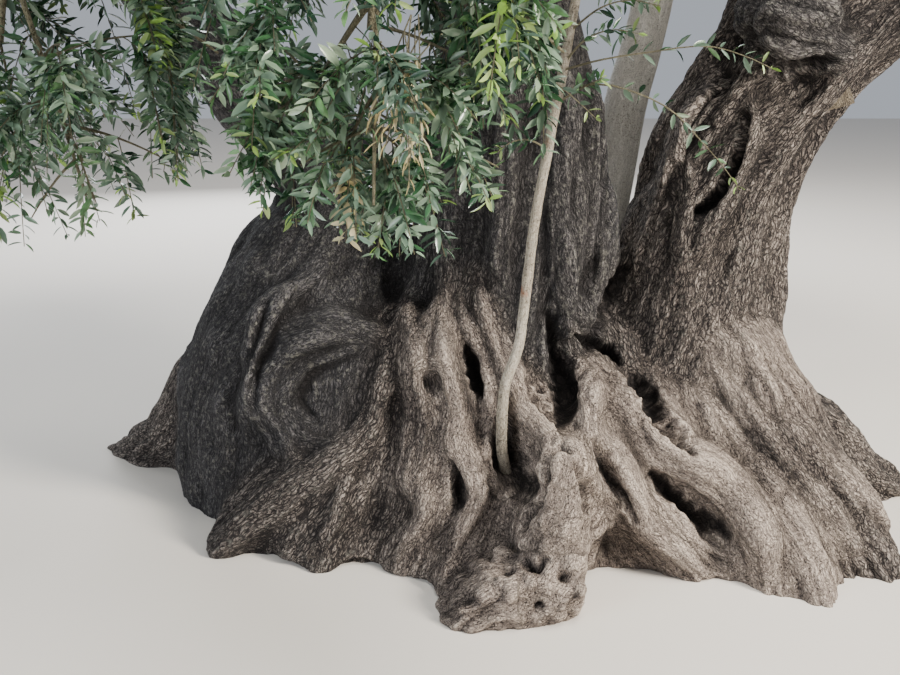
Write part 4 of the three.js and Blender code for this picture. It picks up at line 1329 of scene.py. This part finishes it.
# the masses of the crown, in millimetres: centre, half sizes, the limb that carries each, where on it, kind
masses = {
    "left_outer": ((-2950, 250, 3250), (1050, 1150, 980), "left", 0.93, "crown"),
    "left_front": ((-1900, -1500, 3080), (980, 950, 820), "left", 0.86, "crown"),
    "left_back": ((-1850, 1800, 3200), (1050, 1000, 880), "left", 0.86, "crown"),
    "left_top": ((-1650, 150, 4480), (1150, 1200, 950), "left", 0.98, "crown"),
    "middle_front": ((-50, -1950, 3450), (980, 900, 880), "middle", 0.82, "crown"),
    "middle_back": ((0, 2150, 3650), (1080, 1000, 950), "middle", 0.8, "crown"),
    "top_front": ((-150, -950, 4950), (1100, 950, 850), "middle", 0.97, "crown"),
    "top_back": ((150, 1000, 5150), (1150, 1000, 900), "middle", 0.98, "crown"),
    "right_outer": ((3250, 150, 3350), (1100, 1150, 1000), "right", 0.95, "crown"),
    "right_front": ((2000, -1650, 3150), (1020, 980, 850), "right", 0.85, "crown"),
    "right_back": ((2050, 1850, 3250), (1080, 1000, 900), "right", 0.85, "crown"),
    "right_top": ((1850, 50, 4650), (1150, 1150, 950), "rising", 0.97, "crown"),
    "spray_front": ((-400, -1130, 1720), (500, 380, 600), "middle", 0.68, "hanging"),
    "spray_left": ((-1380, -700, 1740), (640, 500, 680), "left", 0.74, "hanging"),
    "tuft_young": ((720, 750, 3500), (620, 560, 640), "young", 1, "tuft"),
    "tuft_sucker": ((220, -420, 2600), (330, 300, 460), "sucker", 1, "tuft"),
}

carriers = {name: great["stations"] for name, great in greatLimbs.items()}
carriers.update(
    rising=lesserLimbs["bough_rising"], young=lesserLimbs["young_stem"], sucker=lesserLimbs["sucker"],
)

# how many twigs, finer boughs, shoots and leaves on a shoot a mass has; how long and wide a leaf is (metres);
# how far shoots hang; which leaf; and the n of its rounded outline, or 0 for none
foliageColumns = (
    "twigs", "boughlets", "shoots", "leaves", "leafLength", "leafWidth", "droop", "hang", "faces", "corners",
)
foliageRows = {
    "crown": (6, 50, 520, 26, 0.078, 0.019, 0.2, 0.06, "few", 3.4),
    "hanging": (6, 36, 250, 30, 0.053, 0.0158, 0.38, 0.24, "folded", 0),
    "tuft": (6, 26, 220, 22, 0.062, 0.0150, 0.25, 0.1, "few", 3.4),
}
foliageValues = {kind: dict(zip(foliageColumns, row)) for kind, row in foliageRows.items()}

# thickness at the start and at the end (metres) and points round; all but the crown's are thinner
twigValues = {
    "stem": (0.034, 0.014, 10), "twigs": (0.015, 0.006, 6), "boughlets": (0.0075, 0.0035, 4),
    "shoots": (0.0032, 0.0014, 3), "thinner": 0.6,
}

# between which shares of the way out the targets lie, and how billowy the rounded outline is
spreadValues = {
    "boughlets": (0.45, 0.82), "shoots": (0.5, 0.95), "stray": 0.25, "pulled": (0.82, 1),
    "billow": 0.45, "billowSize": 0.42, "uneven": (0.92, 1), "tipRoom": 0.06,
    "inwards": 1.5, "inwardRoom": 0.18, "woodRoom": 0.012,
}

# the main twigs: their lift and points, how far out they reach at most and how they are drawn in, and from
# where on the stem they start
mainValues = {
    "lift": 0.07, "points": 9, "chance": 0.5, "reach": 0.8, "room": 0.85, "step": 0.03, "rounds": 16,
    "from": 0.35, "over": 0.6,
}

# where leaves stand and how they turn: the shares of a shoot, the turn from pair to pair and its chance
# (radians), the lean off the shoot (degrees), the sag, the stray, what their faces turn to, and their sizes
leafValues = {
    "from": 0.22, "turn": 1.4, "turnChance": 0.5, "lean": (36, 84), "sag": -0.04, "stray": 0.2,
    "toSky": 0.7, "outward": 0.3, "toTip": -0.5, "faceStray": 0.6,
    "largest": 1.05, "tipSmaller": 0.35, "size": (0.75, 1.2), "width": (0.85, 1.15), "youngFrom": 0.88,
}

# the shares of the leaf colours, and of the shoots with young leaves at their tips
tintValues = {"shares": [0.39, 0.38, 0.18, 0.03, 0.02], "new": 3, "young": 0.22}

spaceMargin = 0.012  # metres between two masses
goldenAngle = math.pi * (3 - math.sqrt(5))


def reachOf(half, direction):
    return 1 / np.linalg.norm(direction / half, axis=-1)


# how a branch runs to its mass: how far it rises (millimetres, or by its length), how far from its mass's
# middle it ends, and how thick it may be there and along it
runValues = {
    "hanging": {"rise": 420, "end": 0.62, "thickest": 44},
    "crown": {"rise": 0.1, "end": 0.72, "thickest": 98},
    "ofCarrier": 0.9, "thick": (1.1, 0.8, 0.52),
}


def branchStations(name):
    # leaves its carrier, arches up, and ends inside its mass
    centre, half, carrier, at, kind = masses[name]
    centre, half = np.array(centre, float), np.array(half, float)
    start, tangent, radius = pathAt(pathThrough(carriers[carrier], 24), at)
    start, radius = start[0] * 1000, radius[0] * 1000
    towards = unit(centre - start)
    run = runValues[kind]
    if kind == "hanging":
        rise, end = run["rise"], centre + (0, 0, run["end"] * half[2])
    else:
        rise = run["rise"] * np.linalg.norm(centre - start)
        end = centre - towards * run["end"] * reachOf(half, towards)
    thick = min(runValues["ofCarrier"] * radius, run["thickest"])
    middle = (start + end) / 2 + (0, 0, rise)
    return [(*spot, share * thick) for spot, share in zip((start, middle, end), runValues["thick"])]


def wallsOf(name):
    # the planes between a mass and its neighbours: normals and how far each lets the mass reach
    centre, half = (np.array(measure) * 0.001 for measure in masses[name][:2])
    others = [np.array(mass[:2]) * 0.001 for key, mass in masses.items() if key != name]
    away = np.array([place - centre for place, size in others])
    far = np.linalg.norm(away, axis=1)
    normals = away / far[:, None]
    mine = reachOf(half, normals)
    theirs = np.array([reachOf(size, normal) for (place, size), normal in zip(others, normals)])
    return centre, half, normals, far * mine / (mine + theirs) - spaceMargin / 2


def shareOutside(points, walls):
    # below 1 inside the mass's own space, above 1 outside it
    centre, half, normals, limits = walls
    away = points - centre
    return np.maximum(np.linalg.norm(away / half, axis=-1), ((away @ normals.T) / limits).max(-1))


def archedCurves(starts, ends, lift, count):
    # one quadratic curve for each pair: (1-t)^2 A + 2t(1-t) B + t^2 C, with B raised above the middle
    t = np.linspace(0, 1, count)[None, :, None]
    rise = (lift * np.linalg.norm(ends - starts, axis=1))[:, None]
    bend = starts * 0.55 + ends * 0.45 + np.array([0, 0, 1.0]) * rise
    return (1 - t) ** 2 * starts[:, None] + 2 * t * (1 - t) * bend[:, None] + t ** 2 * ends[:, None]


def acrossOf(tangent):
    # a level direction square to the tangent, or one square to X where the tangent is steep
    helper = np.where(np.abs(tangent[..., 2:]) > 0.9, np.array([1.0, 0, 0]), np.array([0, 0, 1.0]))
    return unit(np.cross(tangent, helper))


def tubesAlong(curves, thickStart, thickEnd, sides):
    # rings of a few points round every curve at once; thickness falls along each
    count, rings = curves.shape[:2]
    tangent = unit(np.gradient(curves, axis=1))
    across = acrossOf(tangent)
    over = np.cross(across, tangent)
    angle = anglesRound(sides)
    share = np.linspace(0, 1, rings)
    thick = [np.full((count, 1), value) for value in (thickStart, thickEnd)]
    thick = mixed(*thick, share[None])[..., None, None]
    points = (curves[:, :, None] + circleRound(across, over, angle) * thick).reshape(-1, 3)
    steps = (np.arange(number) for number in (count, rings - 1, sides))
    line, ring, side = np.meshgrid(*steps, indexing="ij")
    a = (line * rings + ring) * sides + side
    b = (line * rings + ring) * sides + (side + 1) % sides
    quads = np.stack([a, a + sides, b + sides, b], -1).reshape(-1, 4)
    firstRing = np.arange(count)[:, None] * rings * sides
    lastRing = firstRing + (rings - 1) * sides
    caps = np.vstack([lastRing + np.arange(sides)[::-1], firstRing + np.arange(sides)])
    u, v = (np.tile(turned, count * rings) * 0.01 for turned in (np.cos(angle), np.sin(angle)))
    return points, quads, caps, np.stack([u, v, np.repeat(np.tile(share, count), sides)], 1)


def twigPiece(name, node, tubes):
    # all the tubes as one mesh, with their grain, not raised and a little open
    shifts = np.cumsum([0] + [len(tube[0]) for tube in tubes])
    faces = [tube[part] + shift for part in (1, 2) for tube, shift in zip(tubes, shifts)]
    mesh = meshFromArrays(name, np.vstack([tube[0] for tube in tubes]), faces)
    grain = np.vstack([tube[3] for tube in tubes])
    setVectors(mesh, "grain", grain)
    setVectors(mesh, "look", np.tile(np.array([[0.0, 0.6, 0.0]]), (len(grain), 1)))
    addPiece(name, mesh, [node], [twigBark])


def leafPiece(name, node, base, along, up, length, width, faces, tints):
    points, triangles, perLeaf = leafArrays(base, along, up, length, width, faces)
    mesh = meshFromArrays(name, points, [triangles])
    mesh.polygons.foreach_set("material_index", np.repeat(tints, perLeaf).astype(np.int32))
    addPiece(name, mesh, [node], leaves)


def nearestOn(curves, targets, centre, half):
    # for each target the best place to grow from: near, and no farther from the mass's heart than the target
    spots = np.concatenate([lines[:, 1:].reshape(-1, 3) for lines in curves])
    outness = np.linalg.norm((spots - centre) / half, axis=1)
    wanted = np.linalg.norm((targets - centre) / half, axis=1)
    gap = np.linalg.norm(targets[:, None] - spots[None], axis=-1)
    inwards = np.maximum(0, outness[None] - wanted[:, None] + spreadValues["inwardRoom"])
    cost = gap + spreadValues["inwards"] * inwards * half.mean()
    return spots[cost.argmin(1)]


def clearOfWood(points, skip):
    # False where a point is inside one of the thick limbs
    keep = np.ones(len(points), bool)
    for name, curve in limbPaths.items():
        if name == skip:
            continue
        for part in inParts(len(points)):
            gap = np.linalg.norm(points[part, None] - curve[None, :, :3], axis=-1) - curve[None, :, 3]
            keep[part] &= gap.min(1) > spreadValues["woodRoom"]
    return keep


# a leaf's points (along its length, across its width, and out of its plane by its length) and its triangles;
# the folded leaf also has a midrib lower than its edges
leafShapes = {
    "folded": (
        [
            (0, 0, 0), (0.2, 0.36, 0.05), (0.2, 0, 0), (0.2, -0.36, 0.05), (0.5, 0.5, 0.07), (0.5, 0, 0.01),
            (0.5, -0.5, 0.07), (0.8, 0.3, 0.03), (0.8, 0, -0.02), (0.8, -0.3, 0.03), (1, 0, -0.05),
        ],
        [
            (0, 2, 1), (0, 3, 2), (1, 2, 5), (1, 5, 4), (2, 3, 6), (2, 6, 5), (4, 5, 8), (4, 8, 7), (5, 6, 9),
            (5, 9, 8), (7, 8, 10), (8, 9, 10),
        ],
    ),
    "few": (
        [
            (0, 0, 0), (0.32, 0.47, 0.03), (0.32, -0.47, 0.03), (0.72, 0.38, 0.01), (0.72, -0.38, 0.01),
            (1, 0, -0.06),
        ],
        [(0, 2, 1), (1, 2, 4), (1, 4, 3), (3, 4, 5)],
    ),
}


def leafArrays(base, along, up, length, width, faces):
    # a narrow blade that starts at its base: widest before the middle, its tip bent down
    side = unit(np.cross(along, up))
    face = np.cross(side, along)
    shape, triangles = (np.array(rows) for rows in leafShapes[faces])
    points = base[:, None]
    for column, direction, size in ((0, along, length), (1, side, width), (2, face, length)):
        points = points + direction[:, None] * (shape[:, column] * size[:, None])[..., None]
    shift = np.arange(len(base))[:, None, None] * len(shape)
    return points.reshape(-1, 3), (triangles[None] + shift).reshape(-1, 3), len(triangles)


def leavesAlong(curves, values, heart, rng):
    # opposite pairs along the outer part of each shoot, each pair turned about a quarter from the last
    v = leafValues
    pairs = values["leaves"] // 2
    count = len(curves)
    share = v["from"] + (1 - v["from"]) * (np.arange(pairs) + 0.5) / pairs
    i, f = spanAt(share * (curves.shape[1] - 1), curves.shape[1])
    base = mixed(curves[:, i], curves[:, i + 1], f[None, :, None])
    tangent = unit(curves[:, i + 1] - curves[:, i])
    base, tangent = (np.repeat(rows, 2, axis=1).reshape(-1, 3) for rows in (base, tangent))
    first = rng.random(count) * 2 * math.pi
    spin = first[:, None, None] + v["turn"] * np.arange(pairs)[None, :, None]
    spin = spin + math.pi * np.arange(2)[None, None]
    spin = (spin + v["turnChance"] * (rng.random(spin.shape) - 0.5)).ravel()
    across = acrossOf(tangent)
    outward = across * np.cos(spin)[:, None] + np.cross(across, tangent) * np.sin(spin)[:, None]
    lean = np.radians(rng.uniform(*values.get("lean", v["lean"]), len(base)))
    along = tangent * np.cos(lean)[:, None] + outward * np.sin(lean)[:, None]
    along = unit(along + np.array([0, 0, v["sag"]]) + v["stray"] * rng.normal(size=along.shape))
    up = np.array([0, 0, v["toSky"]]) + v["outward"] * unit(base - heart) + v["toTip"] * tangent
    up = up + v["faceStray"] * rng.normal(size=along.shape)
    tip = np.tile(np.repeat(share, 2), count)
    size = v["largest"] - v["tipSmaller"] * fadeBetween(0.75, 1, tip)
    size = size * rng.uniform(*v["size"], len(base))
    length, width = values["leafLength"] * size, values["leafWidth"] * size
    width = width * rng.uniform(*v["width"], len(base))
    shoot = np.repeat(np.arange(count), pairs * 2)
    return base, along, up, length, width, shoot, tip > v["youngFrom"]


def evenWays(count, turn):
    # directions spread evenly over a ball, by the golden angle
    k = np.arange(count)
    level = 1 - 2 * (k + 0.5) / count
    flat = np.sqrt(1 - level ** 2)
    return np.stack([flat * np.cos(turn(k)), flat * np.sin(turn(k)), level], 1)


def mainTwigs(name, values, walls, seed, rng):
    # the stem grows on from the branch, and the main twigs go to points spread evenly, as in the solids
    centre, half = walls[:2]
    bough = boughPaths[name]
    origin = pathAt(bough, 0.97)[0]
    heart = centre + pathAt(bough, 1.0)[1][0] * 0.3 * half.min()
    v = mainValues
    stem = archedCurves(origin, heart[None], v["lift"], v["points"])
    count = values["twigs"]
    jitter = v["chance"] * (rng.random(count) - 0.5)
    outward = evenWays(count, lambda k: goldenAngle * k + jitter + seed) * half
    reach = np.full(count, v["reach"])
    for _ in range(v["rounds"]):
        outside = shareOutside(centre + outward * reach[:, None], walls) > v["room"]
        reach = np.where(outside, reach - v["step"], reach)
    share = v["from"] + v["over"] * ((0.618 * np.arange(count) + 0.3) % 1)
    last = v["points"] - 1
    starts = stem[0][np.clip((share * last).round().astype(int), 0, last)]
    return stem, archedCurves(starts, centre + outward * reach[:, None], v["lift"], v["points"])


def targetsIn(key, values, walls, box, seed, rng):
    # many points over a mass's space, between two shares of the way out, inside its solid's box
    centre, half = walls[:2]
    lowest, highest = box
    count, (low, high) = values[key], spreadValues[key]
    ways = evenWays(count, lambda k: goldenAngle * k + seed * 1.7)
    ways = unit(ways + spreadValues["stray"] * rng.normal(size=ways.shape))
    far = np.cbrt(rng.uniform(low ** 3, high ** 3, count))
    points = centre + ways * half * far[:, None]
    over = shareOutside(points, walls)
    pull = np.where(over > high, rng.uniform(*spreadValues["pulled"], count) * high / over, 1)
    points = centre + (points - centre) * pull[:, None]
    power = values["corners"]
    if not power:
        return np.clip(points, lowest, highest)
    # pulled in from outside a rounded box, |x|^n + |y|^n + |z|^n = 1, with billows, so that no side is flat
    boxMiddle, boxHalf = (lowest + highest) / 2, (highest - lowest) / 2
    out = (np.abs((points - boxMiddle) / boxHalf) ** power).sum(1) ** (1 / power)
    billow = 1 - spreadValues["billow"] * np.abs(waver(points / spreadValues["billowSize"] + seed))
    billow = billow * rng.uniform(*spreadValues["uneven"], count)
    return boxMiddle + (points - boxMiddle) * np.minimum(1, billow / out)[:, None]


def foliageOf(name, seed):
    # a stem, twigs, finer boughs and leafy shoots, each grown from the one before, and then the leaves
    kind = masses[name][4]
    values = foliageValues[kind]
    rng = np.random.default_rng(seed)
    walls = wallsOf(name)
    centre, half = walls[:2]
    node = "foliage_" + name
    box = lowest, highest = [np.array(corner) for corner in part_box("foliage_" + name)]
    stem, twigs = mainTwigs(name, values, walls, seed, rng)
    midTargets = targetsIn("boughlets", values, walls, box, seed, rng)
    boughlets = archedCurves(nearestOn([stem, twigs], midTargets, centre, half), midTargets, 0.1, 8)
    tipTargets = targetsIn("shoots", values, walls, box, seed, rng)
    tipTargets[:, 2] -= values["droop"] * 0.15 * half[2]
    over = shareOutside(tipTargets, walls)
    pull = rng.uniform(0.87, 0.97, len(over))
    tipTargets = centre + (tipTargets - centre) * np.where(over > 0.95, pull / over, 1)[:, None]
    # a hanging shoot starts well above its tip and arches over
    above = tipTargets + np.array([0, 0, values["hang"] * half[2]])
    starts = nearestOn([twigs, boughlets], above, centre, half)
    shoots = archedCurves(starts, tipTargets, 0.12 + 0.3 * values["droop"], 6)
    leafRows = leavesAlong(shoots, values, centre, rng)
    base, along, length = leafRows[0], leafRows[1], leafRows[3]
    tips = base + along * length[:, None]
    room = spreadValues["tipRoom"]
    keep = ((tips > lowest - room) & (tips < highest + room)).all(1)
    keep &= (shareOutside(tips, walls) < 1.02) & (shareOutside(base, walls) < 1.0)
    keep &= clearOfWood((base + tips) / 2, name)
    base, along, up, length, width, shoot, young = [rows[keep] for rows in leafRows]
    new = tintValues["new"]
    tints = rng.choice(len(leafColours), size=len(shoots), p=tintValues["shares"])[shoot]
    hasNew = (rng.random(len(shoots)) < tintValues["young"])[shoot]
    tints = np.where(young & (tints < new) & hasNew, new, tints)
    start = base + along * 0.004
    leafPiece("leaves_" + name, node, start, along, up, length, width, values["faces"], tints)
    thinner = 1.0 if kind == "crown" else twigValues["thinner"]
    tubes = []
    for key, curves in (("stem", stem), ("twigs", twigs), ("boughlets", boughlets), ("shoots", shoots)):
        thick, thin, sides = twigValues[key]
        tubes.append(tubesAlong(curves, thick * thinner, thin * (1 if key == "shoots" else thinner), sides))
    twigPiece("twigs_" + name, node, tubes)
    return len(base)


limbPaths = {name: pathThrough(stations, 12) for name, stations in carriers.items()}
boughPaths = {}
for name, mass in masses.items():
    if mass[4] == "tuft":
        boughPaths[name] = pathThrough(carriers[mass[2]], 24)
        continue
    stations = branchStations(name)
    boughPaths[name] = pathThrough(stations, 24)
    limbPiece("limb_" + name, "branch_" + name, stations, branchValues, branchBark)
print("branches done")

leafCount = sum(foliageOf(name, 3 + 7 * i) for i, name in enumerate(masses))
print("foliage done:", leafCount, "leaves")

# thin leafy shoots that cross in front of the stems (millimetres), and their leaves (metres)
shootPaths = [
    [
        (-330, -880, 1700), (-205, -640, 1682), (-120, -605, 1655), (-5, -582, 1598), (89, -569, 1531),
        (174, -560, 1458),
    ],
    [
        (68, -418, 1540), (181, -488, 1564), (309, -516, 1530), (402, -520, 1479), (478, -522, 1405),
        (546, -530, 1333), (603, -540, 1260),
    ],
    [(84, -412, 1626), (136, -459, 1688), (210, -480, 1715), (288, -500, 1703)],
    [(62, -419, 1505), (112, -457, 1540), (152, -480, 1563), (187, -500, 1581)],
    [
        (80, -414, 1603), (177, -490, 1631), (317, -515, 1653), (470, -531, 1669), (584, -541, 1641),
        (670, -550, 1603),
    ],
    [(99, -408, 1716), (176, -460, 1776), (258, -480, 1796), (341, -500, 1779)],
    [(42, -426, 1368), (-19, -462, 1400), (-75, -494, 1397), (-118, -520, 1370)],
]
shootValues = {"thick": 0.0036, "leaves": 26, "leafLength": 0.047, "leafWidth": 0.0135}

# a dry bunch that hangs in the front spray: how many stems, from where to where (millimetres), and its leaves
dryValues = {
    "thick": 0.0018, "leaves": 12, "leafLength": 0.048, "leafWidth": 0.0066, "lean": (8, 44),
    "stems": 8, "from": (-336, -1340, 1690), "to": (-362, -1350, 1450), "spread": (60, 50, 60),
}


def dryPaths():
    rng = np.random.default_rng(17)
    start, finish, spread = (np.array(dryValues[key], float) for key in ("from", "to", "spread"))
    paths = []
    for _ in range(dryValues["stems"]):
        first = start + 0.3 * spread * rng.normal(size=3)
        last = finish + 0.6 * spread * rng.normal(size=3)
        paths.append([first, mixed(first, last, 0.45) + (0.2 * spread) * rng.normal(size=3), last])
    return paths


def leafyShoots(name, node, paths, values, shares, seed):
    # thin stems along the given paths, with pairs of folded leaves; shares are those of the leaf colours
    rng = np.random.default_rng(seed)
    paths = [pathThrough([(*spot, 2) for spot in path], 12) for path in paths]
    curves = np.array([pathAt(path, np.linspace(0, 1, 15))[0] for path in paths])
    twigPiece(name + "_stems", node, [tubesAlong(curves, values["thick"], 0.0013, 6)])
    heart = curves.reshape(-1, 3).mean(0)
    base, along, up, length, width, shoot, young = leavesAlong(curves, values, heart, rng)
    new = tintValues["new"]
    tints = rng.choice(len(shares), size=len(base), p=shares)
    tints = np.where(young & (tints < new) & (shares[0] > 0), new, tints)
    leafPiece(name + "_leaves", node, base + along * 0.003, along, up, length, width, "folded", tints)


leafyShoots("shoot", "foliage_tuft_sucker", shootPaths, shootValues, [0.45, 0.4, 0.15, 0, 0], 91)
leafyShoots("dry_bunch", "foliage_spray_front", dryPaths(), dryValues, [0, 0.1, 0.15, 0, 0.75], 92)
print("thin shoots done")


# the floor (0 to 255), the sky, and for each light its place, size, power, what it points at and its colour
stageValues = {"floor": (214, 208, 200), "floorSize": 60.0, "sky": (0.84, 0.90, 1.0), "skyStrength": 0.5}
lightValues = {
    "key": ((7.3, -4.4, 4.6), 2.0, 2100.0, (0.1, 0, 0.7), (1.0, 0.94, 0.84)),
    "fill": ((-7.0, -6.0, 3.0), 5.0, 600.0, (0, 0, 1.2), (0.9, 0.95, 1.0)),
    "back": ((-2.5, 8.5, 4.5), 6.0, 900.0, (0, 0, 1.2), (0.92, 0.96, 1.0)),
    "top": ((2.0, -3.0, 14.0), 7.0, 2600.0, (0, 0, 3), (1.0, 0.97, 0.92)),
}


def addLight(name, place, size, power, aim, colour):
    light = bpy.data.lights.new(name, "AREA")
    light.size = size
    light.energy = power
    light.color = colour
    lamp = bpy.data.objects.new(name, light)
    lamp.location = place
    lamp.rotation_euler = (Vector(aim) - Vector(place)).to_track_quat("-Z", "Y").to_euler()
    bpy.context.collection.objects.link(lamp)


def addStage():
    # a plain pale floor under a soft sky
    half = stageValues["floorSize"] / 2
    points = np.array([(-half, -half, 0), (half, -half, 0), (half, half, 0), (-half, half, 0)])
    floor = bpy.data.objects.new("floor", meshFromArrays("floor", points, [np.array([[0, 1, 2, 3]])]))
    material, tree, shader = newMaterial("paleFloor")
    put(tree, shader.inputs["Base Color"], linear(*stageValues["floor"]))
    put(tree, shader.inputs["Roughness"], 0.95)
    floor.data.materials.append(material)
    bpy.context.collection.objects.link(floor)
    world = bpy.data.worlds.new("softSky")
    world.use_nodes = True
    background = world.node_tree.nodes["Background"]
    background.inputs["Color"].default_value = (*stageValues["sky"], 1)
    background.inputs["Strength"].default_value = stageValues["skyStrength"]
    bpy.context.scene.world = world
    for name, values in lightValues.items():
        addLight(name, *values)


addStage()
